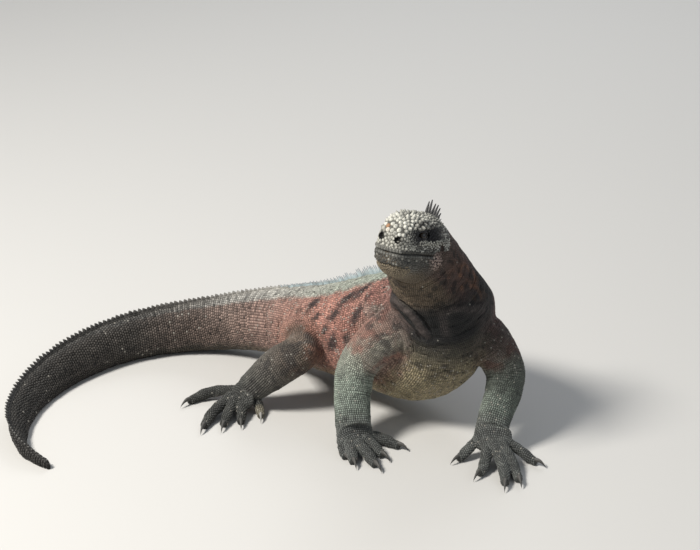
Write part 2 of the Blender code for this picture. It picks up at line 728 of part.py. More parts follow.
def digit(name, root, d):
    """A digit that arches down to the floor, and the claw that grows from it, as two closed pieces."""
    def place(share, lift):
        """The middle of the digit at a share of its length, lifted by a share of its radius."""
        steps = 12
        spot = Vector((root.x, root.y, 0))
        for k in range(steps):
            turn = radians(d.turn + d.bend * ((k + 0.5) / steps * share - 0.5))
            spot += Vector((sin(turn), -cos(turn), 0)) * share * d.length / steps
        fall = max(0, min(1, share))
        spot.z = root.z * (1 - fall) ** 1.6 + d.radius * 0.76 * fall + lift * d.radius
        return spot

    path = [(-0.30, -0.1, 1.0), (0.0, 0.1, 1.08), (0.25, 0.35, 1.0), (0.5, 0.4, 1.08), (0.75, 0.25, 0.92),
            (0.92, 0.05, 0.85), (1.0, -0.05, 0.60)]
    rings = []
    for share, lift, width in path:
        here = place(share, lift)
        turn = radians(d.turn + d.bend * (share - 0.5))
        side = Vector((cos(turn), sin(turn), 0))
        rings.append([here + side * cos(t) * d.radius * width + Vector((0, 0, 1)) * sin(t) * d.radius * width
                      for t in DIGIT_ANGLES])
    finger = loft(name, rings)
    turn = radians(d.turn + d.bend * 0.5)
    out = Vector((sin(turn), -cos(turn), 0))
    side = Vector((cos(turn), sin(turn), 0))
    root = place(1.0, 0.15) - out * d.radius * 0.8
    rings = []
    for share in (0, 0.3, 0.6, 0.85):
        here = root + out * (d.claw + d.radius * 0.8) * share
        thick = 0.44 * d.radius * (1 - share) ** 0.6
        here.z += d.radius * (0.55 * sin(pi * share * 0.8) - 0.9 * share ** 2)
        here.z = max(here.z, thick)
        rings.append([here + side * cos(t) * thick * 0.75 + Vector((0, 0, 1)) * sin(t) * thick
                      for t in CLAW_ANGLES])
    tip = root + out * (d.claw + d.radius * 0.8)
    tip.z = -0.0002
    return [finger, loft(name + "_claw", rings, tips=(None, tip))]


DIGIT_ANGLES = even_angles(8)
CLAW_ANGLES = even_angles(6)


def make_foot(name, limb, side, digits, palm_height):
    """A hand or foot: the palm, its digits and their claws in one closed body."""
    wrist = limb_ring(limb, len(limb) - 1, side, GAP / 2)
    middle = sum(wrist, Vector()) / len(wrist)
    knuckles = sum((Vector((d.root_x, d.root_y, palm_height)) for d in digits), Vector()) / len(digits)
    flat = Vector((knuckles.x - middle.x, knuckles.y - middle.y, 0)).normalized()
    across = Vector((-flat.y, flat.x, 0))
    rings = [wrist]
    for share, width, height in ((0.40, 0.0210, 0.0125), (0.75, 0.0215, 0.0105), (1.05, 0.0190, 0.0085),
                                 (1.30, 0.0120, 0.0060)):
        centre = middle.lerp(knuckles, share)
        centre.z = middle.z + (palm_height * 0.8 - middle.z) * min(share, 1)
        points = []
        for corner in wrist:
            toward = (corner - middle).normalized()
            a, b = toward.dot(across), toward.z
            size = max(1e-6, (a * a + b * b) ** 0.5)
            points.append(centre + across * a / size * width + Vector((0, 0, 1)) * b / size * height)
        rings.append(points)
    palm = loft(name, rings)
    pieces = []
    for k, d in enumerate(digits):
        pieces += digit(f"{name}_digit_{k}", Vector((d.root_x, d.root_y, palm_height)), d)
    unite(palm, pieces)
    bone = limb_length("limb_cutter", limb, side, JOINT_ROW, len(limb) - 1, 0.4 * GAP, GAP, CUTTERS)
    apply_boolean(palm, "DIFFERENCE", bone)
    bpy.data.objects.remove(bone)
    return palm


def make_limbs():
    grown = grown_trunk()
    shoulder = Vector((0, 1, 0))
    hip = Vector((1, 1, 0)).normalized()
    limbs = (("right", "upper_arm", "forearm", "hand", RIGHT_ARM, shoulder, RIGHT_HAND, RIGHT_PALM_HEIGHT),
             ("left", "upper_arm", "forearm", "hand", LEFT_ARM, shoulder, LEFT_HAND, LEFT_PALM_HEIGHT),
             ("right", "thigh", "shank", "foot", RIGHT_LEG, hip, RIGHT_FOOT, SOLE_HEIGHT),
             ("left", "thigh", "shank", "foot", mirrored_leg(RIGHT_LEG), over_hips(hip, place=False),
              mirrored_digits(RIGHT_FOOT), SOLE_HEIGHT))
    for which, root, lower, end, rows, side, digits, height in limbs:
        made = [limb_length(f"{which}_{root}", rows, side, 0, JOINT_ROW),
                limb_length(f"{which}_{lower}", rows, side, JOINT_ROW, len(rows) - 1)]
        part_at_plane(*made, *limb_frame(rows, JOINT_ROW)[1:], size=0.09)
        for piece in made:
            apply_boolean(piece, "DIFFERENCE", grown)
        make_foot(f"{which}_{end}", rows, side, digits, height)
    bpy.data.objects.remove(grown)


def flatten_on_floor():
    """Cuts the small flats on which the model stands."""
    bm = bmesh.new()
    bmesh.ops.create_cube(bm, size=1.0)
    bmesh.ops.scale(bm, verts=bm.verts, vec=(3, 3, 1))
    bmesh.ops.translate(bm, verts=bm.verts, vec=(0, 0, -0.5))
    ground = as_cutter(new_object("floor_cutter", bm, CUTTERS))
    for made in BODY.objects:
        if min(v.co.z for v in made.data.vertices) < 0:
            apply_boolean(made, "DIFFERENCE", ground)
    bpy.data.objects.remove(ground)


def finish():
    """Gives each node its material and smooth shading, and puts the origin under the model's middle."""
    looks = {"head": ("head_skin", HEAD_COLOUR, 0.75), "neck": ("neck_skin", NECK_COLOUR, 0.7),
             "torso": ("trunk_skin", TRUNK_COLOUR, 0.65), "tail": ("tail_skin", TAIL_COLOUR, 0.6),
             "arm": ("arm_skin", ARM_COLOUR, 0.7), "hand": ("hand_skin", HAND_COLOUR, 0.7),
             "thigh": ("thigh_skin", THIGH_COLOUR, 0.65), "shank": ("tail_skin", TAIL_COLOUR, 0.6),
             "foot": ("hand_skin", HAND_COLOUR, 0.7), "eye": ("eye_surface", EYE_COLOUR, 0.08)}
    materials = {}
    corners = [v.co for made in BODY.objects for v in made.data.vertices]
    low = Vector([min(c[k] for c in corners) for k in range(3)])
    high = Vector([max(c[k] for c in corners) for k in range(3)])
    to_origin = Matrix.Translation(-Vector(((low.x + high.x) / 2, (low.y + high.y) / 2, 0)))
    for made in BODY.objects:
        made.data.transform(to_origin)
        for part, (name, colour, roughness) in looks.items():
            if part in made.name:
                if name not in materials:
                    materials[name] = new_material(name, colour, roughness)
                made.data.materials.clear()
                made.data.materials.append(materials[name])
        made.data.shade_smooth()
        made.data.set_sharp_from_angle(angle=radians(40))


make_body()
make_eyes()
make_limbs()
flatten_on_floor()
finish()
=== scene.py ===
from collections import namedtuple
from math import cos, pi, radians, sin

import bmesh
import bpy
import numpy as np
from mathutils import Matrix, Vector
from mathutils.bvhtree import BVHTree
from mathutils.kdtree import KDTree


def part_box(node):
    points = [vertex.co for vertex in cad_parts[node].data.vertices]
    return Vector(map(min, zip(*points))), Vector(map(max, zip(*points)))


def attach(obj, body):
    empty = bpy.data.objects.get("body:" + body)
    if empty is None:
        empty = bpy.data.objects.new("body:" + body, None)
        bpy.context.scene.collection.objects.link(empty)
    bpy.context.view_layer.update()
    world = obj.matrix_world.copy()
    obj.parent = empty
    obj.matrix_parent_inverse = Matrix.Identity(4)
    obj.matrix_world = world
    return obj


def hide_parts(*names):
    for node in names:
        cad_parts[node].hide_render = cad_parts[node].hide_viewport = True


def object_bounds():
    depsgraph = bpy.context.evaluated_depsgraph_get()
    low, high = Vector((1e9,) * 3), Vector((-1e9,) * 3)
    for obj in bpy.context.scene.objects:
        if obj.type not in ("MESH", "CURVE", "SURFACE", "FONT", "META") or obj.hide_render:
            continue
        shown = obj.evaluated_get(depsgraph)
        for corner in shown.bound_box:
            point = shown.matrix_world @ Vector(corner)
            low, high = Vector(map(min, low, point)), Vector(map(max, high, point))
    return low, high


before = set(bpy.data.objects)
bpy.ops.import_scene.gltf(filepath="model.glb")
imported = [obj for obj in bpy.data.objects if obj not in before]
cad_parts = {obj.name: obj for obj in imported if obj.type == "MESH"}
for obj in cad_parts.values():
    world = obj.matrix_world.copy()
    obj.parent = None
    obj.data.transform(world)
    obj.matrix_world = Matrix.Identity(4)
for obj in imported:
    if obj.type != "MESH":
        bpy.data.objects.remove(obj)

cad_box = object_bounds()
scene = bpy.context.scene


# The head's place and pose. The snout is raised and turned to the animal's right, and every piece of
# the face is set by its distance back from the front of the lips, out to the side, and up.
HEAD_YAW, HEAD_PITCH = radians(35), radians(17)
HEAD_LENGTH, HEAD_WIDTH, CROWN_HEIGHT, JAW_DEPTH = 0.080, 0.062, 0.041, 0.026
EYE_RADIUS = 0.0068
EYE_PLACE = (0.0370, 0.0170, 0.0195)
AHEAD = Vector((-sin(HEAD_YAW) * cos(HEAD_PITCH), -cos(HEAD_YAW) * cos(HEAD_PITCH), sin(HEAD_PITCH)))
HEAD_LEFT = Vector((cos(HEAD_YAW), -sin(HEAD_YAW), 0))
HEAD_UP = AHEAD.cross(HEAD_LEFT)
eye_low, eye_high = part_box("eye_left")
SNOUT_TIP = ((eye_low + eye_high) / 2 + AHEAD * EYE_PLACE[0] - HEAD_LEFT * EYE_PLACE[1]
             - HEAD_UP * EYE_PLACE[2])
DRAWN_FROM = SNOUT_TIP - Vector((-0.0617, -0.0700, 0.2630))  # where the stations count from


def head_place(back, side, up):
    return SNOUT_TIP - AHEAD * back + HEAD_LEFT * side + HEAD_UP * up


def on_face(place, way):
    """A place of the face, given by its back, side and up, on the left (1) or the right (-1)."""
    return np.array(head_place(place[0], way * place[1], place[2]))


def linked(name, mesh):
    made = bpy.data.objects.new(name, mesh)
    scene.collection.objects.link(made)
    return made


# The studio: a pale floor, a large soft lamp up on the left, a fainter one on the right and behind,
# and the camera a little over two metres off, looking down by 25 degrees as the photographer did.
def studio_lamp(name, place, aim, size, power, colour):
    lamp = bpy.data.lights.new(name, "AREA")
    lamp.size, lamp.energy, lamp.color = size, power, colour
    made = bpy.data.objects.new(name, lamp)
    made.location = place
    made.rotation_euler = (Vector(aim) - Vector(place)).to_track_quat("-Z", "Y").to_euler()
    scene.collection.objects.link(made)


CENTRE = (cad_box[0] + cad_box[1]) / 2
studio_lamp("key_lamp", (-1.45, -0.75, 2.15), CENTRE, 0.62, 92, (1.0, 0.965, 0.91))
studio_lamp("fill_lamp", (1.9, -1.3, 1.1), CENTRE, 1.6, 5, (0.88, 0.94, 1.0))
studio_lamp("back_lamp", (0.7, 2.0, 1.7), CENTRE, 1.2, 16, (0.95, 0.97, 1.0))
world = bpy.data.worlds.new("studio_air")
scene.world = world
world.use_nodes = True
world.node_tree.nodes["Background"].inputs["Color"].default_value = (0.80, 0.86, 0.95, 1)
world.node_tree.nodes["Background"].inputs["Strength"].default_value = 0.27
scene.view_settings.view_transform = "Standard"

floor_mesh = bpy.data.meshes.new("floor")
floor_mesh.from_pydata([(-6, -4, 0), (6, -4, 0), (6, 8, 0), (-6, 8, 0)], [], [(0, 1, 2, 3)])
floor = linked("floor", floor_mesh)
paint = bpy.data.materials.new("pale_floor_paint")
paint.use_nodes = True
paint.node_tree.nodes["Principled BSDF"].inputs["Base Color"].default_value = (0.62, 0.61, 0.585, 1)
paint.node_tree.nodes["Principled BSDF"].inputs["Roughness"].default_value = 0.85
floor_mesh.materials.append(paint)

camera_data = bpy.data.cameras.new("camera")
camera_data.sensor_width = 36
camera_data.lens = 36 * 1980 / 700
camera = bpy.data.objects.new("camera", camera_data)
camera.location = Vector((-0.1004, -1.9939, 1.1323)) + DRAWN_FROM
camera.rotation_euler = (radians(65), 0, 0)
scene.collection.objects.link(camera)
scene.camera = camera


# The skin: one unbroken hide over head, trunk, tail and limbs, of dry horny scales. The animal's line
# is given by stations down the spine and down each limb, with a width and heights at each.
Station = namedtuple("Station", "x y z left_x left_y half_width rise drop square roll")
LimbStation = namedtuple("LimbStation", "x y z across along")
Digit = namedtuple("Digit", "root_x root_y turn bend length radius claw")


def head_station(back, half_width, rise, drop, square):
    place = SNOUT_TIP - DRAWN_FROM - AHEAD * back * HEAD_LENGTH
    return Station(*place, HEAD_LEFT.x, HEAD_LEFT.y, half_width * HEAD_WIDTH / 2,
                   rise * CROWN_HEIGHT, drop * JAW_DEPTH, square, 0)


def body_station(x, y, z, heading, half_width, rise, drop, square=2.0, roll=0):
    turn = radians(heading)
    return Station(x, y, z, cos(turn), -sin(turn), half_width, rise, drop, square, radians(roll))


HEAD = [
    head_station(0.000, 0.16, 0.16, 0.14, 2.2), head_station(0.020, 0.40, 0.42, 0.38, 2.4),
    head_station(0.060, 0.52, 0.62, 0.60, 2.6), head_station(0.140, 0.63, 0.80, 0.88, 2.7),
    head_station(0.260, 0.71, 0.91, 1.10, 2.6), head_station(0.420, 0.83, 0.97, 1.18, 2.5),
    head_station(0.600, 0.97, 0.97, 1.42, 2.4), head_station(0.780, 1.00, 0.95, 1.56, 2.2),
]
NECK = [
    body_station(-0.0210, -0.0060, 0.2270, 31, 0.0385, 0.0395, 0.0440, 2.15),
    body_station(-0.0100, 0.0080, 0.2030, 23, 0.0455, 0.0400, 0.0500),
    body_station(0.0010, 0.0190, 0.1750, 11, 0.0530, 0.0420, 0.0550),
]
TRUNK = [
    body_station(0.0030, 0.0370, 0.1440, -8, 0.0620, 0.0520, 0.0740, 2.1),
    body_station(-0.0230, 0.0660, 0.1150, -30, 0.0700, 0.0620, 0.0930, 2.2),
    body_station(-0.0660, 0.1020, 0.0950, -42, 0.0730, 0.0565, 0.0770, 2.2),
    body_station(-0.1130, 0.1370, 0.0770, -47, 0.0620, 0.0480, 0.0610, 2.2),
    body_station(-0.1600, 0.1700, 0.0640, -54, 0.0480, 0.0420, 0.0500, 2.1),
]
TAIL = [
    body_station(-0.2080, 0.1960, 0.0540, -66, 0.0360, 0.0345, 0.0430),
    body_station(-0.2620, 0.2120, 0.0425, -80, 0.0275, 0.0290, 0.0385),
    body_station(-0.3170, 0.2120, 0.0345, -98, 0.0225, 0.0255, 0.0350, roll=-4),
    body_station(-0.3710, 0.1930, 0.0302, -117, 0.0190, 0.0236, 0.0312, roll=-10),
    body_station(-0.4190, 0.1570, 0.0262, -136, 0.0160, 0.0216, 0.0280, roll=-20),
    body_station(-0.4570, 0.1080, 0.0206, -152, 0.0120, 0.0190, 0.0238, roll=-32),
    body_station(-0.4800, 0.0525, 0.0156, -168, 0.0098, 0.0155, 0.0196, roll=-42),
    body_station(-0.4830, -0.0030, 0.0120, -186, 0.0082, 0.0120, 0.0152, roll=-40),
    body_station(-0.4685, -0.0500, 0.0092, -208, 0.0062, 0.0085, 0.0104, roll=-12),
    body_station(-0.4360, -0.0800, 0.0048, -225, 0.0030, 0.0038, 0.0052),
]
SPINE = HEAD + NECK + TRUNK + TAIL
NECK_START = len(HEAD) - 0.5
TRUNK_START = len(HEAD) + len(NECK) - 0.4
RUMP = len(HEAD) + len(NECK) + len(TRUNK) - 1.0
# Swellings and hollows of the head: back, side, up, amount and reach.
HEAD_FORMS = [
    (0.0350, 0.0210, 0.0330, 0.0028, 0.0085),  # brow
    (0.0380, 0.0250, 0.0215, -0.0040, 0.0075),  # hollow of the eye
    (0.0580, 0.0330, -0.0100, 0.0040, 0.0120),  # jowl
    (0.0260, 0.0230, 0.0080, 0.0012, 0.0080),  # upper lip
    (0.0060, 0.0115, 0.0170, 0.0018, 0.0042),  # rim of the nostril
]
RIGHT_ARM = [LimbStation(*row) for row in (
    (-0.0220, 0.0240, 0.1330, 0.0300, 0.0290), (-0.0500, 0.0200, 0.1220, 0.0290, 0.0275),
    (-0.0750, 0.0170, 0.1030, 0.0250, 0.0245), (-0.0935, 0.0100, 0.0790, 0.0215, 0.0222),
    (-0.0975, -0.0030, 0.0570, 0.0200, 0.0208), (-0.0975, -0.0170, 0.0400, 0.0170, 0.0200),
    (-0.0965, -0.0270, 0.0270, 0.0130, 0.0200),
)]
LEFT_ARM = [LimbStation(*row) for row in (
    (0.0160, 0.0240, 0.1330, 0.0300, 0.0290), (0.0440, 0.0190, 0.1220, 0.0290, 0.0275),
    (0.0650, 0.0130, 0.1010, 0.0250, 0.0245), (0.0765, 0.0040, 0.0780, 0.0215, 0.0220),
    (0.0735, -0.0110, 0.0590, 0.0200, 0.0205), (0.0660, -0.0260, 0.0450, 0.0165, 0.0190),
    (0.0610, -0.0370, 0.0330, 0.0125, 0.0185),
)]
RIGHT_LEG = [LimbStation(*row) for row in (
    (-0.1500, 0.1500, 0.0620, 0.0300, 0.0310), (-0.1550, 0.1150, 0.0700, 0.0290, 0.0295),
    (-0.1510, 0.0840, 0.0740, 0.0245, 0.0255), (-0.1570, 0.0650, 0.0730, 0.0210, 0.0220),
    (-0.1850, 0.0620, 0.0545, 0.0220, 0.0225), (-0.2080, 0.0640, 0.0335, 0.0175, 0.0185),
    (-0.2190, 0.0670, 0.0235, 0.0130, 0.0165),
)]
RIGHT_HAND = [Digit(*row) for row in (
    (-0.0820, -0.0240, 74, -36, 0.0400, 0.0056, 0.0125), (-0.0830, -0.0340, 42, -14, 0.0300, 0.0058, 0.0130),
    (-0.0900, -0.0460, 30, -6, 0.0370, 0.0060, 0.0140), (-0.1000, -0.0480, 10, 4, 0.0230, 0.0058, 0.0130),
    (-0.1090, -0.0400, 12, 20, 0.0200, 0.0055, 0.0120),
)]
LEFT_HAND = [Digit(*row) for row in (
    (0.0440, -0.0460, -52, 10, 0.0290, 0.0056, 0.0125), (0.0530, -0.0560, -14, -36, 0.0430, 0.0058, 0.0130),
    (0.0610, -0.0600, 9, -30, 0.0590, 0.0060, 0.0140), (0.0700, -0.0580, 17, -16, 0.0550, 0.0058, 0.0130),
    (0.0760, -0.0490, 56, -10, 0.0400, 0.0055, 0.0120),
)]
RIGHT_FOOT = [Digit(*row) for row in (
    (-0.2110, 0.0570, 16, -26, 0.0230, 0.0050, 0.0120), (-0.2260, 0.0500, -2, 10, 0.0300, 0.0054, 0.0125),
    (-0.2360, 0.0520, -16, 14, 0.0400, 0.0056, 0.0135), (-0.2420, 0.0600, -29, 34, 0.0580, 0.0058, 0.0145),
    (-0.2400, 0.0780, -82, 84, 0.0570, 0.0058, 0.0140),
)]


def spline(rows, u):
    """A smooth curve through rows of numbers, at the fractional row u, with knots by distance."""
    last = len(rows) - 1
    i = min(int(u), last - 1)
    t = u - i
    near = [rows[max(0, min(last, i + step))] for step in (-1, 0, 1, 2)]
    spans = [max(1e-6, (Vector(b[:3]) - Vector(a[:3])).length) for a, b in zip(near, near[1:])]
    values = []
    for before, a, b, after in zip(*near):
        slope = b - a
        into = slope
        if i > 0:
            into = ((a - before) / spans[0] * spans[1] + slope / spans[1] * spans[0]) / (
                spans[0] + spans[1]) * spans[1]
        out = slope
        if i < last - 1:
            out = (slope / spans[1] * spans[2] + (after - b) / spans[2] * spans[1]) / (
                spans[1] + spans[2]) * spans[1]
        values.append(a + into * t + (3 * slope - 2 * into - out) * t ** 2
                      + (into + out - 2 * slope) * t ** 3)
    return values


def spine_frame(u):
    """The station at u, its centre, and the directions forward, left and up there."""
    here = Station(*spline(SPINE, u))
    step = 0.02
    ahead = Vector(spline(SPINE, max(0, u - step))[:3])
    behind = Vector(spline(SPINE, min(len(SPINE) - 1, u + step))[:3])
    left = Vector((here.left_x, here.left_y, 0)).normalized()
    along = ahead - behind
    forward = (along - left * along.dot(left)).normalized()
    turn = Matrix.Rotation(here.roll, 3, forward)
    centre = Vector((here.x, here.y, here.z)) + DRAWN_FROM
    return here, centre, forward, turn @ left, turn @ forward.cross(left)


def head_swelling(points):
    """How far the head's surface stands out or in at points, beside its plain section."""
    away = points - np.array(SNOUT_TIP)
    back, side, up = -away @ np.array(AHEAD), abs(away @ np.array(HEAD_LEFT)), away @ np.array(HEAD_UP)
    total = np.zeros(len(points))
    for at_back, at_side, at_up, amount, reach in HEAD_FORMS:
        near = (back - at_back) ** 2 + (side - at_side) ** 2 + (up - at_up) ** 2
        total += amount * np.exp(-near / reach ** 2)
    return total


def body_ring(u, angles):
    """The body's surface at u. The angles count from the left side over the top."""
    here, centre, forward, left, up = spine_frame(u)
    c, s = np.cos(angles), np.sin(angles)
    side = here.half_width * np.sign(c) * abs(c) ** (2 / here.square)
    lift = np.where(s >= 0, here.rise, here.drop) * np.sign(s) * abs(s) ** (2 / here.square)
    away = np.outer(side, left) + np.outer(lift, up)
    points = np.array(centre) + away
    if u < NECK_START + 1:
        away /= np.linalg.norm(away, axis=1)[:, None]
        points += away * head_swelling(points)[:, None]
    return points


def limb_frame(rows, u):
    step = 0.03
    ahead = Vector(spline(rows, min(len(rows) - 1, u + step))[:3])
    behind = Vector(spline(rows, max(0, u - step))[:3])
    here = LimbStation(*spline(rows, u))
    return here, Vector((here.x, here.y, here.z)) + DRAWN_FROM, (ahead - behind).normalized()


def limb_ring(rows, u, side, angles):
    here, centre, forward = limb_frame(rows, u)
    a = (side - forward * side.dot(forward)).normalized()
    b = forward.cross(a)
    return (np.array(centre) + np.outer(np.cos(angles) * here.across, a)
            + np.outer(np.sin(angles) * here.along, b))


def over_hips(vector, place=True):
    """A place, or a direction, on the other side of the trunk's upright plane at the hips."""
    middle = Vector(TRUNK[-1][:3]) if place else Vector()
    left = Vector((TRUNK[-1].left_x, TRUNK[-1].left_y, 0))
    return vector - left * 2 * (vector - middle).dot(left)


def mirrored_digits(digits):
    made = []
    for d in digits:
        place = over_hips(Vector((d.root_x, d.root_y, 0)))
        way = over_hips(Vector((sin(radians(d.turn)), -cos(radians(d.turn)), 0)), place=False)
        made.append(Digit(place.x, place.y, np.degrees(np.arctan2(way.x, -way.y)), -d.bend, d.length,
                          d.radius, d.claw))
    return made


LEFT_LEG = [LimbStation(*over_hips(Vector(row[:3])), row.across, row.along) for row in RIGHT_LEG]
SHOULDER, HIP = Vector((0, 1, 0)), Vector((1, 1, 0)).normalized()
# Each limb's name, bones, the way its sections face, its digits, and the height of its palm or sole.
LIMBS = [
    ("right_arm", RIGHT_ARM, SHOULDER, RIGHT_HAND, 0.0125),
    ("left_arm", LEFT_ARM, SHOULDER, LEFT_HAND, 0.0190),
    ("right_leg", RIGHT_LEG, HIP, RIGHT_FOOT, 0.0140),
    ("left_leg", LEFT_LEG, over_hips(HIP, place=False), mirrored_digits(RIGHT_FOOT), 0.0140),
]


def digit_place(d, root_z, share, lift):
    """The middle of a digit at a share of its length, lifted by a share of its radius."""
    steps = 12
    spot = Vector((d.root_x, d.root_y, 0))
    for k in range(steps):
        turn = radians(d.turn + d.bend * ((k + 0.5) / steps * share - 0.5))
        spot += Vector((sin(turn), -cos(turn), 0)) * share * d.length / steps
    fall = max(0, min(1, share))
    spot.z = root_z * (1 - fall) ** 1.6 + d.radius * 0.76 * fall + lift * d.radius
    return spot + DRAWN_FROM


def digit_sides(d, share):
    turn = radians(d.turn + d.bend * (share - 0.5))
    return Vector((sin(turn), -cos(turn), 0)), Vector((cos(turn), sin(turn), 0))


# Places along a digit, with its lift and its width there, as shares of its radius.
DIGIT_FORM = [(-0.30, -0.1, 1.0), (0.0, 0.1, 1.08), (0.25, 0.35, 1.0), (0.5, 0.4, 1.08), (0.75, 0.25, 0.92),
              (0.92, 0.05, 0.85), (1.0, -0.05, 0.60)]
# Every tube of flesh: its name, rings of points, and the places along it and angles round it.
Tube = namedtuple("Tube", "name rings places angles")
tubes = []
angles = np.linspace(0, 2 * pi, 96, endpoint=False)
places = np.concatenate([np.linspace(0.12, 8, 60), np.linspace(8, 15.6, 110)[1:],
                         np.linspace(15.6, len(SPINE) - 1, 190)[1:]])
tubes.append(Tube("body", np.array([body_ring(u, angles) for u in places]), places, angles))
UP = np.array((0.0, 0.0, 1.0))
for name, rows, side, digits, palm_height in LIMBS:
    angles = np.linspace(0, 2 * pi, 40, endpoint=False)
    places = np.linspace(0, len(rows) - 1, 60)
    tubes.append(Tube(name, np.array([limb_ring(rows, u, side, angles) for u in places]), places, angles))
    wrist = limb_ring(rows, len(rows) - 1, side, angles)
    middle = wrist.mean(0)
    knuckles = np.mean([(d.root_x, d.root_y, palm_height) for d in digits], 0) + np.array(DRAWN_FROM)
    flat = (knuckles - middle) * (1, 1, 0)
    flat /= np.linalg.norm(flat)
    across = np.array((-flat[1], flat[0], 0))
    toward = (wrist - middle) / np.linalg.norm(wrist - middle, axis=1)[:, None]
    a, b = toward @ across, toward[:, 2]
    size = np.maximum(1e-6, np.hypot(a, b))
    palm = [wrist]
    for share, width, height in ((0.40, 0.0210, 0.0125), (0.75, 0.0215, 0.0105), (1.05, 0.0190, 0.0085),
                                 (1.30, 0.0120, 0.0060)):
        centre = middle + (knuckles - middle) * share
        centre[2] = middle[2] + (palm_height * 0.8 - middle[2]) * min(share, 1)
        palm.append(centre + np.outer(a / size * width, across) + np.outer(b / size * height, UP))
    tubes.append(Tube(name + "_palm", np.array(palm), np.arange(5.0), angles))
    for k, d in enumerate(digits):
        angles_d = np.linspace(0, 2 * pi, 20, endpoint=False)
        shares = np.linspace(-0.30, 1.0, 27)
        rings = []
        for share in shares:
            lift, width = (np.interp(share, [f[0] for f in DIGIT_FORM], [f[column] for f in DIGIT_FORM])
                           for column in (1, 2))
            side_way = np.array(digit_sides(d, share)[1])
            knuckle = 1 + 0.07 * cos(2 * pi * share * 3)
            rings.append(np.array(digit_place(d, palm_height, share, lift))
                         + np.outer(np.cos(angles_d) * d.radius * width * knuckle, side_way)
                         + np.outer(np.sin(angles_d) * d.radius * width * knuckle, UP))
        tubes.append(Tube(f"{name}_digit_{k}", np.array(rings), shares, angles_d))


def tube_mesh(name, rings_of_tubes):
    """One mesh of closed tubes, each given by its rings of points."""
    points, faces, start = [], [], 0
    for rings in rings_of_tubes:
        n, count = len(rings), len(rings[0])
        points.append(np.concatenate([rings.reshape(-1, 3), rings[0].mean(0)[None], rings[-1].mean(0)[None]]))
        k = np.arange(count)
        for row in range(n - 1):
            a, b = start + row * count + k, start + row * count + (k + 1) % count
            faces.append(np.stack([a, b, b + count, a + count], 1))
        first, last = start + n * count, start + n * count + 1
        ring_end = start + (n - 1) * count
        caps = [(start + (j + 1) % count, start + j, first) for j in range(count)]
        caps += [(ring_end + j, ring_end + (j + 1) % count, last) for j in range(count)]
        faces.append(np.array(caps))
        start += n * count + 2
    mesh = bpy.data.meshes.new(name)
    mesh.from_pydata(np.concatenate(points).tolist(), [], [f.tolist() for block in faces for f in block])
    return mesh


def face_outward(mesh):
    bm = bmesh.new()
    bm.from_mesh(mesh)
    bmesh.ops.recalc_face_normals(bm, faces=bm.faces)
    bm.to_mesh(mesh)
    bm.free()


def eye_axes(side):
    """The eye's centre, and the directions out of it, forward along its slit, and above it."""
    out = (HEAD_LEFT * side + HEAD_UP * 0.24 + AHEAD * 0.52).normalized()
    along = (AHEAD - out * AHEAD.dot(out)).normalized()
    return head_place(EYE_PLACE[0], side * EYE_PLACE[1], EYE_PLACE[2]), out, along, out.cross(along) * side


LID_RIM_OUT = 0.62  # how far out the rim of the lids lies, in radii of the eye


def lid_rim(side):
    """The fleshy rim of the eyelids, an oval roll about the eye."""
    centre, out, along, above = eye_axes(side)
    centre = centre + out * EYE_RADIUS * LID_RIM_OUT
    turns = np.linspace(0, 2 * pi, 12, endpoint=False)
    rings = []
    for a in np.linspace(0, 2 * pi * 1.02, 50):
        radial = along * cos(a) * 1.22 + above * sin(a) * 0.84
        middle = centre + radial * EYE_RADIUS * 0.86
        rings.append(np.array(middle) + 0.0021 * (np.outer(np.cos(turns), radial.normalized())
                                                  + 0.8 * np.outer(np.sin(turns), out)))
    return np.array(rings)


SKIN_GRAIN = 0.0014  # the size of the skin mesh's faces
skin = linked("skin", tube_mesh("flesh", [tube.rings for tube in tubes] + [lid_rim(1), lid_rim(-1)]))
face_outward(skin.data)
remesh = skin.modifiers.new("fuse", "REMESH")
remesh.mode, remesh.voxel_size = "VOXEL", SKIN_GRAIN
skin.data = bpy.data.meshes.new_from_object(skin.evaluated_get(bpy.context.evaluated_depsgraph_get()))
skin.modifiers.clear()
middle_of_head = head_place(0.034, 0, 0.006)
bm = bmesh.new()  # the head's faces are made smaller, as its relief is the finest
bm.from_mesh(skin.data)
near = [e for e in bm.edges if (e.verts[0].co - middle_of_head).length < 0.058]
bmesh.ops.subdivide_edges(bm, edges=near, cuts=1, use_grid_fill=True)
bmesh.ops.triangulate(bm, faces=[f for f in bm.faces if len(f.verts) > 4])
bm.to_mesh(skin.data)
bm.free()


def neighbour_mean(values, edges):
    """The mean of each vertex's neighbours."""
    count = np.bincount(edges.ravel(), minlength=len(values)).astype(float)
    total = np.stack([np.bincount(edges[:, 0], values[edges[:, 1], k], len(values))
                      + np.bincount(edges[:, 1], values[edges[:, 0], k], len(values))
                      for k in range(values.shape[1])], 1)
    return total / np.maximum(count, 1)[:, None]


def vertices_of(mesh, what="co"):
    """The places of a mesh's vertices, or their normals."""
    found = np.zeros(len(mesh.vertices) * 3)
    mesh.vertices.foreach_get(what, found)
    return found.reshape(-1, 3)


def edges_of(mesh):
    found = np.zeros(len(mesh.edges) * 2, dtype=np.int32)
    mesh.edges.foreach_get("vertices", found)
    return found.reshape(-1, 2)


def run_along(points):
    """The length of a line of points up to each of them."""
    return np.concatenate([[0], np.cumsum(np.linalg.norm(np.diff(points, axis=0), axis=1))])


def tree_of(points):
    tree = KDTree(len(points))
    for k, point in enumerate(points.tolist()):
        tree.insert(point, k)
    tree.balance()
    return tree


LATTICE = np.random.default_rng(3).uniform(-1, 1, 8192)


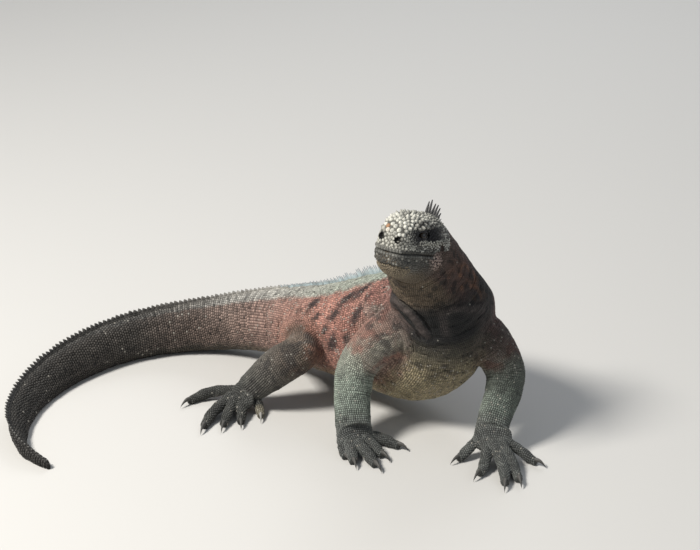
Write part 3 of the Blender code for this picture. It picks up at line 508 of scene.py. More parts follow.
def mottle(points, size, seed=0):
    """Smooth random patches between -1 and 1, of about the given size."""
    scaled = points / size + 100 + seed * 17.3
    cell = np.floor(scaled).astype(np.int64)
    t = scaled - cell
    t = t * t * (3 - 2 * t)
    total = 0
    for dx in (0, 1):
        for dy in (0, 1):
            for dz in (0, 1):
                at = (((cell[:, 0] + dx) * 73856093) ^ ((cell[:, 1] + dy) * 19349663)
                      ^ ((cell[:, 2] + dz) * 83492791)) & 8191
                total = total + LATTICE[at] * (t[:, 0] if dx else 1 - t[:, 0]) * (
                    t[:, 1] if dy else 1 - t[:, 1]) * (t[:, 2] if dz else 1 - t[:, 2])
    return total


def fade(values, start, end):
    """0 at start, 1 at end, smooth between."""
    t = np.clip((values - start) / (end - start), 0, 1)
    return t * t * (3 - 2 * t)


# The parts of the body that a point of the skin can lie on, and the samples that tell where.
PARTS = ["body"] + [limb[0] for limb in LIMBS]
body_tube = tubes[0]
RUN = run_along(body_tube.rings.mean(1))  # the length of the body's line up to each ring
PALM_START, DIGIT_START = 6.0, 7.6  # where the palms and digits come in the places down a limb
trees, samples = {}, {}
for part in PARTS:
    members = [tube for tube in tubes if tube.name.startswith(part)]
    points = np.concatenate([tube.rings.reshape(-1, 3) for tube in members])
    down, around = [], []
    for tube in members:
        start = 0.0 if tube.name in PARTS else PALM_START if "palm" in tube.name else DIGIT_START
        down.append(np.repeat(tube.places + start, len(tube.angles)))
        around.append(np.tile(tube.angles, len(tube.places)))
    samples[part] = (np.concatenate(down), np.concatenate(around))
    trees[part] = tree_of(points)


def where_on(points):
    """For each part: how much a point belongs to it, its place along the part and its angle round it."""
    found = {}
    reach = []
    for part in PARTS:
        hits = [trees[part].find(point)[1:] for point in points.tolist()]
        nearest = np.array([hit[0] for hit in hits])
        away = np.array([hit[1] for hit in hits])
        down, around = samples[part]
        found[part] = [away, down[nearest], around[nearest]]
        reach.append(away)
    least = np.min(reach, axis=0)
    weights = [np.exp(-((found[part][0] - least) / 0.006) ** 2) for part in PARTS]
    total = np.sum(weights, axis=0)
    for part, weight in zip(PARTS, weights):
        found[part][0] = weight / total
    return found


# The relief of the hide: softened where limbs join the trunk, then creased round the neck, along the
# trunk and at the joints, with the lips, the nostrils, the ears and the eye sockets in the head.
SMOOTHING_ROUNDS = 14
co = vertices_of(skin.data)
edges = edges_of(skin.data)
where = where_on(co)
blend = 1 - np.max([where[part][0] for part in PARTS], axis=0)
softness = np.clip(0.10 + 2.4 * blend, 0, 1)[:, None]
for _ in range(SMOOTHING_ROUNDS):
    co += (neighbour_mean(co, edges) - co) * softness * 0.6
on_body, down_body, around_body = where["body"]
run_body = np.interp(down_body, body_tube.places, RUN)
skin.data.vertices.foreach_set("co", co.ravel())
skin.data.update()
out = vertices_of(skin.data, "normal")
high = np.sin(around_body)
right = np.cos(around_body) < 0
warp = 0.9 * mottle(co, 0.022, 1) + 0.35 * mottle(co, 0.009, 2)
neck_zone = fade(down_body, 7.3, 8.0) * (1 - fade(down_body, 11.0, 11.7)) * fade(-high, -0.75, 0.1)
neck_zone *= np.where(right, 1.0, 0.7) * on_body
folds = np.abs(np.sin(pi * run_body / 0.0105 + warp * 1.6 + 0.4 * np.cos(around_body))) ** 0.55 - 0.65
shift = 0.0021 * neck_zone * folds
fine = np.abs(np.sin(pi * run_body / 0.0046 + warp * 2.3)) ** 0.6 - 0.6
shift += 0.0009 * neck_zone * fine
trunk_zone = fade(down_body, 11.3, 12.0) * (1 - fade(down_body, 15.2, 16.5)) * on_body
shift += 0.0010 * trunk_zone * (np.abs(np.sin(pi * run_body / 0.016 + warp * 2.0)) ** 0.6 - 0.6)
shift += 0.0011 * np.clip(blend * 2.2, 0, 1) * np.sin(run_body / 0.0042 + 3 * mottle(co, 0.02, 5))
# Named folds: their course over the body as places down it and angles round it in degrees, how far
# they stand out or in, and half their width.
FOLDS = [
    ([(10.1, 186), (9.6, 205), (9.05, 232), (8.95, 250), (9.32, 259), (9.85, 264), (10.3, 268)],
     -0.0040, 0.0026),
    ([(10.3, 190), (9.9, 205), (9.35, 230), (9.53, 247), (9.95, 255), (10.35, 260)], 0.0048, 0.0050),
    ([(10.4, 196), (10.15, 212), (10.16, 229), (10.23, 244), (10.45, 252)], -0.0040, 0.0027),
    ([(10.55, 214), (10.8, 217), (11.05, 217)], 0.0022, 0.0016),
    ([(10.44, 225), (10.70, 226), (10.95, 225)], 0.0020, 0.0015),
    ([(10.42, 233), (10.65, 234), (10.9, 233)], -0.0016, 0.0016),
]


def body_spots(course):
    """Points on the body along a course of places and angles in degrees."""
    line = np.linspace(0, len(course) - 1, 60)
    us, degrees = (np.interp(line, range(len(course)), [stop[k] for stop in course]) for k in (0, 1))
    return np.array([body_ring(u, np.radians([turn]))[0] for u, turn in zip(us, degrees)])


MIRRORED_SHARE = 0.18  # of the right side's folds, on the left
FOLD_LINES = [(body_spots([(u, 540 - turn if mirrored else turn) for u, turn in course]),
               stands * (MIRRORED_SHARE if mirrored else 1.0), wide)
              for course, stands, wide in FOLDS for mirrored in (False, True)]


def fold_height(points):
    """How far the named folds lift the hide at points of it; below zero in their creases."""
    lift = np.zeros(len(points))
    for spots, stands, wide in FOLD_LINES:
        near = np.where(np.linalg.norm(points - spots.mean(0), axis=1) < 0.09)[0]
        gap = np.linalg.norm(points[near][:, None] - spots[None], axis=2)
        nearest = gap.argmin(1)
        ends = np.minimum(nearest, 59 - nearest) / 59
        lift[near] += stands * fade(ends, 0.0, 0.16) ** 0.7 * np.exp(-(gap.min(1) / wide) ** 2)
    return lift


shift += fold_height(co)
tail_zone = fade(down_body, 15.8, 17.5) * on_body
groove = np.exp(-((np.abs(np.cos(around_body)) - 0.93) / 0.10) ** 2) * (high > -0.5)
shift -= 0.0010 * tail_zone * groove
shift += 0.0005 * mottle(co, 0.010, 7) + 0.0002 * mottle(co, 0.004, 8)


def in_head(points):
    """The places of points in the head's own measures: back, to the side, and up."""
    away = points - np.array(SNOUT_TIP)
    return -away @ np.array(AHEAD), away @ np.array(HEAD_LEFT), away @ np.array(HEAD_UP)


MOUTH_LENGTH = 0.047
NOSTRIL_PLACE = (0.0010, 0.0108, 0.0150)
EAR_PLACE = (0.0640, 0.0310, 0.0080)


def mouth_rise(back):
    """How the mouth line waves up and down along the jaw."""
    return 0.0008 * np.sin(back * 95)


back, side, up = in_head(co)
lips = (1 - fade(back, MOUTH_LENGTH - 0.003, MOUTH_LENGTH + 0.002)) * on_body
mouth_line = up - mouth_rise(back)
shift += lips * (0.0010 * np.exp(-((mouth_line - 0.0032) / 0.0022) ** 2)
                 + 0.0007 * np.exp(-((mouth_line + 0.0034) / 0.0024) ** 2)
                 - 0.0024 * np.exp(-(mouth_line / 0.0008) ** 2))
chin = (1 - fade(back, 0.014, 0.034)) * on_body
shift += chin * (0.0010 * np.exp(-((up + 0.0100) / 0.0026) ** 2)
                 - 0.0018 * np.exp(-((up + 0.0145) / 0.0012) ** 2))
ridge = fade(back, 0.026, 0.034) * (1 - fade(back, 0.060, 0.072)) * on_body
shift += ridge * 0.0014 * np.exp(-((up - 0.0120 - 0.04 * (back - 0.03)) / 0.0020) ** 2)
for way in (-1, 1):
    near = np.linalg.norm(co - on_face(EAR_PLACE, way), axis=1)
    shift -= 0.0016 * (1 - fade(near, 0.0030, 0.0052))
    near = np.linalg.norm(co - on_face(NOSTRIL_PLACE, way), axis=1)
    shift += 0.0010 * np.exp(-((near - 0.0044) / 0.0012) ** 2) - 0.0046 * (1 - fade(near, 0.0018, 0.0036))
co += out * shift[:, None]
for way in (-1, 1):
    centre, out_way, along, above = (np.array(x) for x in eye_axes(way))
    away = co - centre
    x, y, z = away @ along, away @ above, away @ out_way
    inside = 1 - fade(np.hypot(x / 0.0078, (y + 0.0004) / 0.0047), 0.85, 1.15)
    floor_of_socket = np.sqrt(np.maximum(0, EYE_RADIUS ** 2 - x ** 2 - y ** 2)) - 0.0016
    sink = np.maximum(0, z - floor_of_socket) * inside * (z > 0)
    co -= out_way * sink[:, None]
co[:, 2] = np.maximum(co[:, 2], 0.0001)
skin.data.vertices.foreach_set("co", co.ravel())
skin.data.shade_smooth()
skin.data.update()

# The markings: colours along the back, the flank and the belly at places down the spine.
BODY_PAINT = [
    (0.0, (0.30, 0.29, 0.25), (0.24, 0.235, 0.21), (0.24, 0.20, 0.15)),
    (4.5, (0.24, 0.24, 0.215), (0.15, 0.145, 0.128), (0.17, 0.14, 0.10)),
    (6.4, (0.17, 0.16, 0.14), (0.105, 0.078, 0.062), (0.125, 0.095, 0.064)),
    (7.8, (0.12, 0.10, 0.082), (0.092, 0.056, 0.043), (0.135, 0.100, 0.064)),
    (8.7, (0.14, 0.125, 0.105), (0.084, 0.048, 0.037), (0.115, 0.084, 0.055)),
    (9.15, (0.18, 0.17, 0.15), (0.052, 0.033, 0.028), (0.044, 0.035, 0.028)),
    (9.6, (0.22, 0.22, 0.195), (0.012, 0.011, 0.011), (0.008, 0.008, 0.008)),
    (10.4, (0.30, 0.31, 0.27), (0.045, 0.036, 0.033), (0.009, 0.009, 0.009)),
    (10.8, (0.36, 0.38, 0.33), (0.110, 0.088, 0.076), (0.10, 0.088, 0.062)),
    (11.3, (0.37, 0.41, 0.34), (0.20, 0.135, 0.112), (0.28, 0.235, 0.145)),
    (11.8, (0.34, 0.38, 0.315), (0.31, 0.170, 0.135), (0.34, 0.285, 0.175)),
    (12.6, (0.33, 0.36, 0.30), (0.385, 0.190, 0.148), (0.38, 0.315, 0.195)),
    (13.6, (0.34, 0.355, 0.30), (0.39, 0.200, 0.156), (0.28, 0.220, 0.135)),
    (14.6, (0.38, 0.375, 0.33), (0.36, 0.212, 0.172), (0.26, 0.190, 0.13)),
    (15.6, (0.45, 0.435, 0.395), (0.31, 0.205, 0.170), (0.18, 0.140, 0.10)),
    (16.6, (0.36, 0.345, 0.315), (0.22, 0.160, 0.134), (0.09, 0.072, 0.052)),
    (17.6, (0.17, 0.160, 0.145), (0.120, 0.090, 0.075), (0.05, 0.042, 0.032)),
    (19.0, (0.085, 0.081, 0.074), (0.060, 0.053, 0.046), (0.036, 0.031, 0.025)),
    (22.0, (0.034, 0.032, 0.029), (0.028, 0.026, 0.023), (0.022, 0.019, 0.016)),
    (25.0, (0.026, 0.024, 0.022), (0.023, 0.021, 0.019), (0.02, 0.017, 0.014)),
]
ARM_PAINT = [
    (0.0, (0.20, 0.130, 0.108)), (1.0, (0.28, 0.185, 0.150)), (1.9, (0.32, 0.235, 0.190)),
    (2.7, (0.29, 0.300, 0.248)), (3.6, (0.260, 0.298, 0.248)), (5.0, (0.215, 0.250, 0.212)),
    (6.0, (0.150, 0.160, 0.145)), (7.2, (0.118, 0.124, 0.115)), (9.0, (0.095, 0.100, 0.094)),
]
LEG_PAINT = [
    (0.0, (0.39, 0.205, 0.160)), (1.2, (0.32, 0.180, 0.138)), (2.0, (0.155, 0.098, 0.072)),
    (3.2, (0.130, 0.103, 0.080)), (4.2, (0.112, 0.102, 0.087)), (5.2, (0.095, 0.094, 0.083)),
    (6.5, (0.068, 0.069, 0.063)), (9.0, (0.052, 0.053, 0.048)),
]


def tint(rows, down, column):
    knots = [row[0] for row in rows]
    return np.stack([np.interp(down, knots, [row[column][k] for row in rows]) for k in range(3)], 1)


def mix(a, b, share):
    return a + (np.asarray(b) - a) * np.asarray(share)[:, None]


# Dark blotches of the flank: their place down the body, how far below the back, length and width.
SPOTS = [
    (12.35, 0.014, 0.0200, 0.0095), (12.75, 0.022, 0.0150, 0.0080), (12.95, 0.042, 0.0130, 0.0070),
    (12.22, 0.048, 0.0140, 0.0078), (13.05, 0.074, 0.0130, 0.0066), (13.20, 0.059, 0.0080, 0.0048),
    (13.82, 0.020, 0.0130, 0.0080), (13.55, 0.042, 0.0080, 0.0046), (12.55, 0.072, 0.0100, 0.0056),
    (13.55, 0.080, 0.0100, 0.0052), (14.25, 0.032, 0.0070, 0.0036), (11.85, 0.030, 0.0110, 0.0060),
    (12.60, 0.094, 0.0105, 0.0050),
]


# The place of each inner toe, which is paler than the rest of the foot.
INNER_TOES = {name: tuple(digit_place(digits[0], palm_height, 0.72, 0))
              for name, rows, side, digits, palm_height in LIMBS if "leg" in name}


def patchy(points, broad, fine, share, start, end):
    """Ragged patches from a broad and a fine mottle, each given by its size and its seed."""
    return fade(mottle(points, *broad) + share * mottle(points, *fine), start, end)


def eye_mask(back, up):
    """The dark mask about the eye, at places of the head."""
    rise = 0.0205 + 0.06 * (back - 0.04)
    return np.exp(-(((back - 0.0400) / 0.0245) ** 4 + ((up - rise) / 0.0088) ** 4))


def markings_and_painted_light(points, where):
    """The colour of the hide at points of it: its markings, with painted shade in fold creases and on the
    left arm, and a painted highlight on fold ridges.
    """
    on_head = where["body"][0] * (1 - fade(where["body"][1], 7.4, 8.4))
    weight, down, around = where["body"]
    high = np.sin(around)
    wave = mottle(points, 0.010, 4)
    back = fade(high + 0.03 * wave, 0.82, 0.91)
    belly = fade(-high + 0.12 * wave, 0.42, 0.80)
    colour = mix(mix(tint(BODY_PAINT, down, 2), tint(BODY_PAINT, down, 1), back),
                 tint(BODY_PAINT, down, 3), belly)
    run = np.interp(down, body_tube.places, RUN)
    lower = np.arccos(np.clip(high, -1, 1)) * 0.062 - 0.026  # the way down the flank
    ragged = 0.0022 * mottle(points, 0.0050, 14)
    dark = np.zeros(len(points))
    for place, under, length, width in SPOTS:
        a, b = run - np.interp(place, body_tube.places, RUN) + ragged, lower - under + ragged
        lengthwise, across = 0.80 * a + 0.60 * b, 0.60 * a - 0.80 * b
        dark = np.maximum(dark, np.exp(-((lengthwise / length) ** 4 + (across / width) ** 4)))
    colour = mix(colour, (0.040, 0.028, 0.027), 0.95 * dark * (1 - 0.7 * back) * (1 - belly))
    rust = fade(mottle(points, 0.008, 15), -0.2, 0.6) * np.exp(
        -(((down - 8.9) / 0.75) ** 2 + ((np.abs(np.cos(around)) - 1) / 0.05) ** 2))
    colour = mix(colour, (0.26, 0.115, 0.055), 0.8 * rust)
    blot = patchy(points, (0.007, 16), (0.003, 17), 0.5, 0.10, 0.60)
    colour = mix(colour, (0.035, 0.030, 0.022), 0.75 * blot * belly * fade(down, 10.2, 10.7)
                 * (1 - fade(down, 11.0, 11.7)))
    smudge = patchy(points, (0.007, 26), (0.003, 27), 0.6, 0.05, 0.60)
    smudge *= fade(down, 6.8, 7.8) * (1 - fade(down, 9.4, 10.2))
    colour = colour * (1 - 0.60 * smudge)[:, None]
    shade = patchy(points, (0.026, 9), (0.009, 10), 0.4, 0.15, 0.55)
    shoulder = fade(down, 10.4, 10.9) * (1 - fade(down, 11.6, 12.2)) * (1 - back) * (1 - belly)
    colour = mix(colour, (0.24, 0.225, 0.195), 0.60 * shade * shoulder)
    black = patchy(points, (0.006, 18), (0.0028, 19), 0.6, -0.15, 0.30)
    black *= fade(down, 9.6, 10.1) * (1 - fade(down, 10.8, 11.4)) * fade(0.60 - np.abs(high), 0.0, 0.3)
    colour = mix(colour, (0.018, 0.017, 0.017), 0.85 * black)
    rings = fade(np.cos(2 * pi * run / 0.0074 + 1.2 * mottle(points, 0.02, 12)), 0.35, 0.9)
    ringed = fade(down, 14.2, 15.2) * (1 - fade(down, 18.5, 20.5)) * fade(high, -0.1, 0.75)
    colour = mix(colour, colour * 0.45, 0.75 * rings * ringed)
    colour = mix(colour, (0.30, 0.12, 0.095), 0.45 * (1 - shade) * shoulder * (high > -0.6))
    # Painted shade in the creases of the named folds, and a painted highlight on their ridges: darker where
    # the hide sinks, lighter and paler where it stands out.
    lift = fold_height(points)
    colour = colour * (1 + 0.75 * np.clip(lift / 0.003, -1, 0.2))[:, None]
    colour = mix(colour, (0.30, 0.235, 0.215), 0.65 * np.clip(lift / 0.004, 0, 1))
    total = colour * weight[:, None]
    for part in PARTS[1:]:
        weight, down, around = where[part]
        limb = tint(ARM_PAINT if "arm" in part else LEG_PAINT, down, 1)
        if "arm" in part:
            patch = patchy(points, (0.016, 20), (0.006, 21), 0.5, -0.05, 0.45)
            limb = mix(limb, (0.25, 0.120, 0.092), 0.70 * patch * (1 - fade(down, 2.2, 3.2)))
            coal = patchy(points, (0.010, 23), (0.004, 24), 0.5, -0.1, 0.45)
            coal = np.maximum(coal * (1 - fade(down, 1.3, 2.4)), 0.30 * coal * fade(down, 2.2, 3.0))
            if part == "right_arm":
                edge = fade(-np.cos(around) + 0.06 * mottle(points, 0.006, 28), 0.84, 0.96)
                edge *= fade(down, 0.4, 1.0)
                limb = mix(limb, (0.27, 0.275, 0.225), 0.75 * edge * (1 - fade(down, 2.2, 3.0)))
            # The left arm: a painted shade over its upper arm and forearm, and more near-black on the upper
            # arm, partly its own colour and partly painted shade.
            if part == "left_arm":
                limb = limb * np.interp(down, (0, 4.0, 5.4), (0.42, 0.50, 1.0))[:, None]
                coal = np.maximum(coal, 0.9 * (1 - fade(down, 1.3, 2.5)))
            limb = mix(limb, (0.028, 0.027, 0.026), 0.72 * coal)
        else:
            patch = fade(mottle(points, 0.018, 22), -0.1, 0.5)
            limb = mix(limb, (0.22, 0.105, 0.072), 0.7 * patch * (1 - fade(down, 2.6, 3.8)))
            coal = patchy(points, (0.012, 25), (0.005, 29), 0.6, 0.0, 0.5)
            coal *= fade(down, 1.7, 2.5) * (1 - fade(down, 5.6, 6.4))
            limb = mix(limb, (0.034, 0.031, 0.029), 0.65 * coal)
            toe = np.linalg.norm(points - np.array(INNER_TOES[part]), axis=1)
            limb = mix(limb, (0.27, 0.245, 0.185), 0.8 * (1 - fade(toe, 0.007, 0.012)))
        total += limb * weight[:, None]
    back, side, up = in_head(points)
    mask = eye_mask(back, up) * fade(abs(side), 0.008, 0.014) * on_head
    total = mix(total, (0.020, 0.020, 0.022), 0.95 * mask)
    for way in (-1, 1):
        near = np.linalg.norm(points - on_face(NOSTRIL_PLACE, way), axis=1)
        total = mix(total, (0.008, 0.007, 0.007), 1 - fade(near, 0.0042, 0.0050))
    cloud = 1 + 0.20 * mottle(points, 0.013, 30) + 0.12 * mottle(points, 0.005, 31)
    return np.clip(total * cloud[:, None], 0.004, 0.9)


def paint_points(mesh, colours):
    layer = mesh.color_attributes.new("marking", "FLOAT_COLOR", "POINT")
    layer.data.foreach_set("color", np.concatenate([colours, np.ones((len(colours), 1))], 1).ravel())


def horn_material(name, roughness, relief, cell, deep=0.6, gloss=0.35):
    """Dry horny hide: the colours on its points, a fine grain of granules in relief, and painted shade in the
    grooves between them.
    """
    made = bpy.data.materials.new(name)
    made.use_nodes = True
    nodes, links = made.node_tree.nodes, made.node_tree.links
    shader = nodes["Principled BSDF"]
    shader.inputs["Specular IOR Level"].default_value = gloss
    marking = nodes.new("ShaderNodeAttribute")
    marking.attribute_name = "marking"
    place = nodes.new("ShaderNodeTexCoord")
    cells = nodes.new("ShaderNodeTexVoronoi")
    cells.feature = "DISTANCE_TO_EDGE"
    cells.inputs["Scale"].default_value = 1 / cell
    links.new(place.outputs["Object"], cells.inputs["Vector"])
    grain = nodes.new("ShaderNodeTexNoise")
    grain.inputs["Scale"].default_value = 900
    grain.inputs["Detail"].default_value = 4
    links.new(place.outputs["Object"], grain.inputs["Vector"])
    # Painted shade in the grooves: the colour falls to deep at the edges of the cells; the same map gives the
    # relief.
    ramp = nodes.new("ShaderNodeMapRange")
    ramp.inputs["From Max"].default_value = 0.22
    ramp.inputs["To Min"].default_value = deep
    links.new(cells.outputs["Distance"], ramp.inputs["Value"])
    speck = nodes.new("ShaderNodeMapRange")
    speck.inputs["From Min"].default_value, speck.inputs["From Max"].default_value = 0.3, 0.7
    speck.inputs["To Min"].default_value, speck.inputs["To Max"].default_value = 0.82, 1.16
    links.new(grain.outputs["Fac"], speck.inputs["Value"])
    both = nodes.new("ShaderNodeMath")
    both.operation = "MULTIPLY"
    links.new(ramp.outputs["Result"], both.inputs[0])
    links.new(speck.outputs["Result"], both.inputs[1])
    shaded = nodes.new("ShaderNodeMix")
    shaded.data_type, shaded.blend_type = "RGBA", "MULTIPLY"
    shaded.inputs["Factor"].default_value = 1
    links.new(marking.outputs["Color"], shaded.inputs["A"])
    links.new(both.outputs["Value"], shaded.inputs["B"])
    links.new(shaded.outputs["Result"], shader.inputs["Base Color"])
    rough = nodes.new("ShaderNodeMapRange")
    rough.inputs["To Min"].default_value = roughness - 0.1
    rough.inputs["To Max"].default_value = roughness + 0.15
    links.new(grain.outputs["Fac"], rough.inputs["Value"])
    links.new(rough.outputs["Result"], shader.inputs["Roughness"])
    height = nodes.new("ShaderNodeMath")
    height.operation = "MULTIPLY_ADD"
    height.inputs[1].default_value = 0.35
    links.new(grain.outputs["Fac"], height.inputs[0])
    links.new(ramp.outputs["Result"], height.inputs[2])
    bump = nodes.new("ShaderNodeBump")
    bump.inputs["Strength"].default_value = 0.7
    bump.inputs["Distance"].default_value = relief
    links.new(height.outputs["Value"], bump.inputs["Height"])
    links.new(bump.outputs["Normal"], shader.inputs["Normal"])
    return made


# The hide is painted at this share of its colour: a painted shade in the gaps between the scales.
HIDE_SHADE = 0.62  # the hide between the scales is darker than they are
where = where_on(co)
paint_points(skin.data, markings_and_painted_light(co, where) * HIDE_SHADE)
skin.data.materials.append(horn_material("hide", 0.66, 0.0006, 0.0021))
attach(skin, "root")
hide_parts(*[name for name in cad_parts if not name.startswith("eye")])


# The scales: small horny plates in rows across the trunk and the limbs, larger and leaning back on the
# tail. Each is a low plate with six sides, rooted in the hide, and all of a region are one piece.
PLATE = [(-0.40, 1.04), (0.70, 0.74)]  # the height and width of its rings, from the root to the top
SCALE_REACH = 0.0016  # scales farther than this from the skin are left out
BODY_PLACES = 26  # a number past the last place down the body, for the bake layout
PATCH_SIZE = 0.0015


def lay_out(mesh, sides, levels, patches):
    """The bake layout: each scale or spine keeps to its own small round patch."""
    per = sides * levels + 1
    corner = np.zeros(len(mesh.loops), dtype=np.int32)
    mesh.loops.foreach_get("vertex_index", corner)
    own, inside = corner // per, corner % per
    turn = (inside % sides) * 2 * pi / sides
    ring = np.where(inside == per - 1, 0.0, 1.0 - (inside // sides) / levels)
    spot = np.stack([np.cos(turn), np.sin(turn)], 1) * (PATCH_SIZE * ring)[:, None]
    layer = mesh.uv_layers.new(name="OFBake")
    layer.data.foreach_set("uv", (patches[own] + spot).ravel())


def joined_scales(name, roots, outs, ways, sizes, colours, patches, rings=PLATE, sides=6, lean=0.18,
                  tip_colour=1.25, root_shade=0.62, shades=None):
    """One piece of many scales. sizes holds each one's half length, half width and height."""
    n = len(roots)
    ways = ways - outs * np.sum(ways * outs, 1)[:, None]
    ways /= np.linalg.norm(ways, axis=1)[:, None]
    across = np.cross(outs, ways)
    angles = np.arange(sides) * 2 * pi / sides
    levels, tones = [], []
    for level, (height, width) in enumerate(rings):
        a = np.cos(angles)[None, :, None] * (sizes[:, 0] * width)[:, None, None] * ways[:, None, :]
        b = np.sin(angles)[None, :, None] * (sizes[:, 1] * width)[:, None, None] * across[:, None, :]
        h = (height * sizes[:, 2])[:, None, None] * outs[:, None, :]
        slid = (max(height, 0) * lean * sizes[:, 0])[:, None, None] * ways[:, None, :]
        levels.append(roots[:, None, :] + a + b + h + slid)
        # Each ring is painted darker the nearer it lies to the root, a painted shade where the scale meets
        # the hide; shades, when given, sets each ring's share of the colour.
        shade = shades[level] if shades else root_shade + (1 - root_shade) * min(1, max(0, height / 0.45))
        tones.append(np.repeat(colours[:, None, :] * shade, sides, 1))
    top = roots + outs * sizes[:, 2][:, None] + ways * (sizes[:, 0] * (lean + 0.05))[:, None]
    points = np.concatenate(levels + [top[:, None, :]], 1)
    # The tip is painted at tip_colour times the colour: above 1 a painted highlight, below 1 a tip darker in
    # its own colour.
    tones = np.concatenate(tones + [(colours * tip_colour)[:, None, :]], 1)
    per = sides * len(rings) + 1
    around = [(k, (k + 1) % sides) for k in range(sides)]
    quads = [(level * sides + k, level * sides + after, (level + 1) * sides + after,
              (level + 1) * sides + k) for level in range(len(rings) - 1) for k, after in around]
    last = (len(rings) - 1) * sides
    tris = [(last + k, last + after, per - 1) for k, after in around]
    bottom = tuple(reversed(range(sides)))
    start = (np.arange(n) * per)[:, None, None]
    faces = ((start + np.array(quads)[None]).reshape(-1, 4).tolist()
             + (start + np.array(tris)[None]).reshape(-1, 3).tolist()
             + (start[:, 0] + np.array(bottom)[None]).tolist())
    mesh = bpy.data.meshes.new(name)
    mesh.from_pydata(points.reshape(-1, 3).tolist(), [], faces)
    paint_points(mesh, np.clip(tones.reshape(-1, 3), 0.003, 0.92))
    mesh.shade_smooth()
    lay_out(mesh, sides, len(rings), patches)
    made = linked(name, mesh)
    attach(made, "root")
    return made


skin_tree = BVHTree.FromPolygons(co.tolist(), [tuple(face.vertices) for face in skin.data.polygons])
skin_out = vertices_of(skin.data, "normal")
vertex_tree = tree_of(co)


def on_skin(points, reach):
    """Which points lie within reach of the skin, their nearest places on it, and the way out there."""
    places, outs, kept = [], [], []
    for k, point in enumerate(points.tolist()):
        place, _, _, away = skin_tree.find_nearest(point)
        if place is not None and away < reach:
            kept.append(k)
            places.append(place)
            outs.append(skin_out[vertex_tree.find(place)[1]])
    return np.array(kept, dtype=int), np.array(places), np.array(outs)


def rows_of_scales(tube, start, end, pitch):
    """Roots of scales in staggered rows round a tube, as dense as on the outside of its bends, with
    rows left out inside them; and the lengths and widths between the scales."""
    trails = np.linalg.norm(np.diff(tube.rings, axis=0), axis=2)
    run = np.concatenate([[0], np.cumsum(trails.max(1))])
    first, last = np.interp([start, end], tube.places, run)
    number = max(2, int((last - first) / pitch))
    found = []
    for row in range(number):
        at = first + (last - first) * (row + 0.5) / number
        k = max(0, min(len(run) - 2, np.searchsorted(run, at) - 1))
        t = (at - run[k]) / (run[k + 1] - run[k])
        ring = tube.rings[k] * (1 - t) + tube.rings[k + 1] * t
        step = tube.rings[k + 1] - tube.rings[k]
        closed = np.concatenate([ring, ring[:1]])
        girth = run_along(closed)
        count = max(5, int(girth[-1] / pitch))
        wanted = ((np.arange(count) + 0.5 * (row % 2)) / count * girth[-1]) % girth[-1]
        spots = np.stack([np.interp(wanted, girth, closed[:, axis]) for axis in range(3)], 1)
        nearest = np.minimum(np.searchsorted(girth, wanted), len(ring) - 1)
        local = trails[k][nearest] / trails[k].max() * (last - first) / number
        every = np.maximum(1, np.round(pitch / np.maximum(local, 1e-5))).astype(int)
        way = step[nearest]
        way /= np.linalg.norm(way, axis=1)[:, None]
        place = np.full(count, tube.places[k] * (1 - t) + tube.places[k + 1] * t)
        stays = row % every == 0
        found.append([part[stays] for part in (spots, way, local * every, np.full(count, girth[-1] / count),
                                               place, tube.angles[nearest])])
    return [np.concatenate(part) for part in zip(*found)]


def scale_field(name, tube_list, pitch, height, keel=0.0, flecks=0.03, variety=0.16):
    """Scales over tubes of flesh as one piece. Flecks is the share of them painted pale, a painted glint."""
    chance = np.random.default_rng(len(name) * 7 + 1)
    gathered = [rows_of_scales(tube, start, end, pitch) for tube, start, end in tube_list]
    points, ways, lengths, widths, downs, arounds = [np.concatenate(part) for part in zip(*gathered)]
    kept, places, outs = on_skin(points, SCALE_REACH)
    ways, lengths, widths = ways[kept], lengths[kept], widths[kept]
    where = where_on(places)
    colours = markings_and_painted_light(places, where)
    n = len(kept)
    luck = chance.uniform(0, 1, n)
    colours = colours * (1 + chance.normal(0, variety, n))[:, None]
    pale = luck < flecks
    glint = np.array((0.50, 0.47, 0.41)) * 0.55
    colours[pale] = colours[pale] * 0.45 + glint * chance.uniform(0.4, 1, (pale.sum(), 1))
    sizes = np.stack([lengths * 0.56, widths * 0.54, height * (1 + chance.uniform(-0.2, 0.25, n))], 1)
    patches = np.stack([(downs[kept] / BODY_PLACES) % 1, arounds[kept] / (2 * pi)], 1) * 0.99 + 0.003
    # Each scale is painted darker at its root, a painted shade, and lighter at its tip, a painted highlight.
    made = joined_scales(name, places, outs, ways, sizes, np.clip(colours, 0.004, 0.9), patches,
                         lean=0.18 + keel)
    made.data.materials.append(scale_horn)


scale_horn = horn_material("scale_horn", 0.55, 0.0002, 0.0009, deep=0.85, gloss=0.45)
scale_field("neck_scales", [(body_tube, 7.4, 11.0)], 0.0023, 0.00055, flecks=0.004)
scale_field("fore_trunk_scales", [(body_tube, 11.0, 12.9)], 0.0027, 0.00055, flecks=0.07,
            variety=0.28)
scale_field("hind_trunk_scales", [(body_tube, 12.9, 15.4)], 0.0027, 0.00055, flecks=0.10,
            variety=0.28)
scale_field("tail_scales", [(body_tube, 15.4, 24.9)], 0.0035, 0.0008, keel=0.25, flecks=0.02,
            variety=0.28)
limb_tubes = {tube.name: tube for tube in tubes}
arm_list, leg_list = [], []
for name, rows, side, digits, palm_height in LIMBS:
    chosen = arm_list if "arm" in name else leg_list
    chosen.append((limb_tubes[name], 0.6, len(rows) - 1))
    chosen.append((limb_tubes[name + "_palm"], 0.0, 3.6))
    for k in range(len(digits)):
        chosen.append((limb_tubes[f"{name}_digit_{k}"], -0.1, 0.97))
scale_field("arm_scales", arm_list, 0.0025, 0.0008, keel=0.1, variety=0.20)
scale_field("leg_scales", leg_list, 0.00272, 0.0008, keel=0.1, variety=0.20)


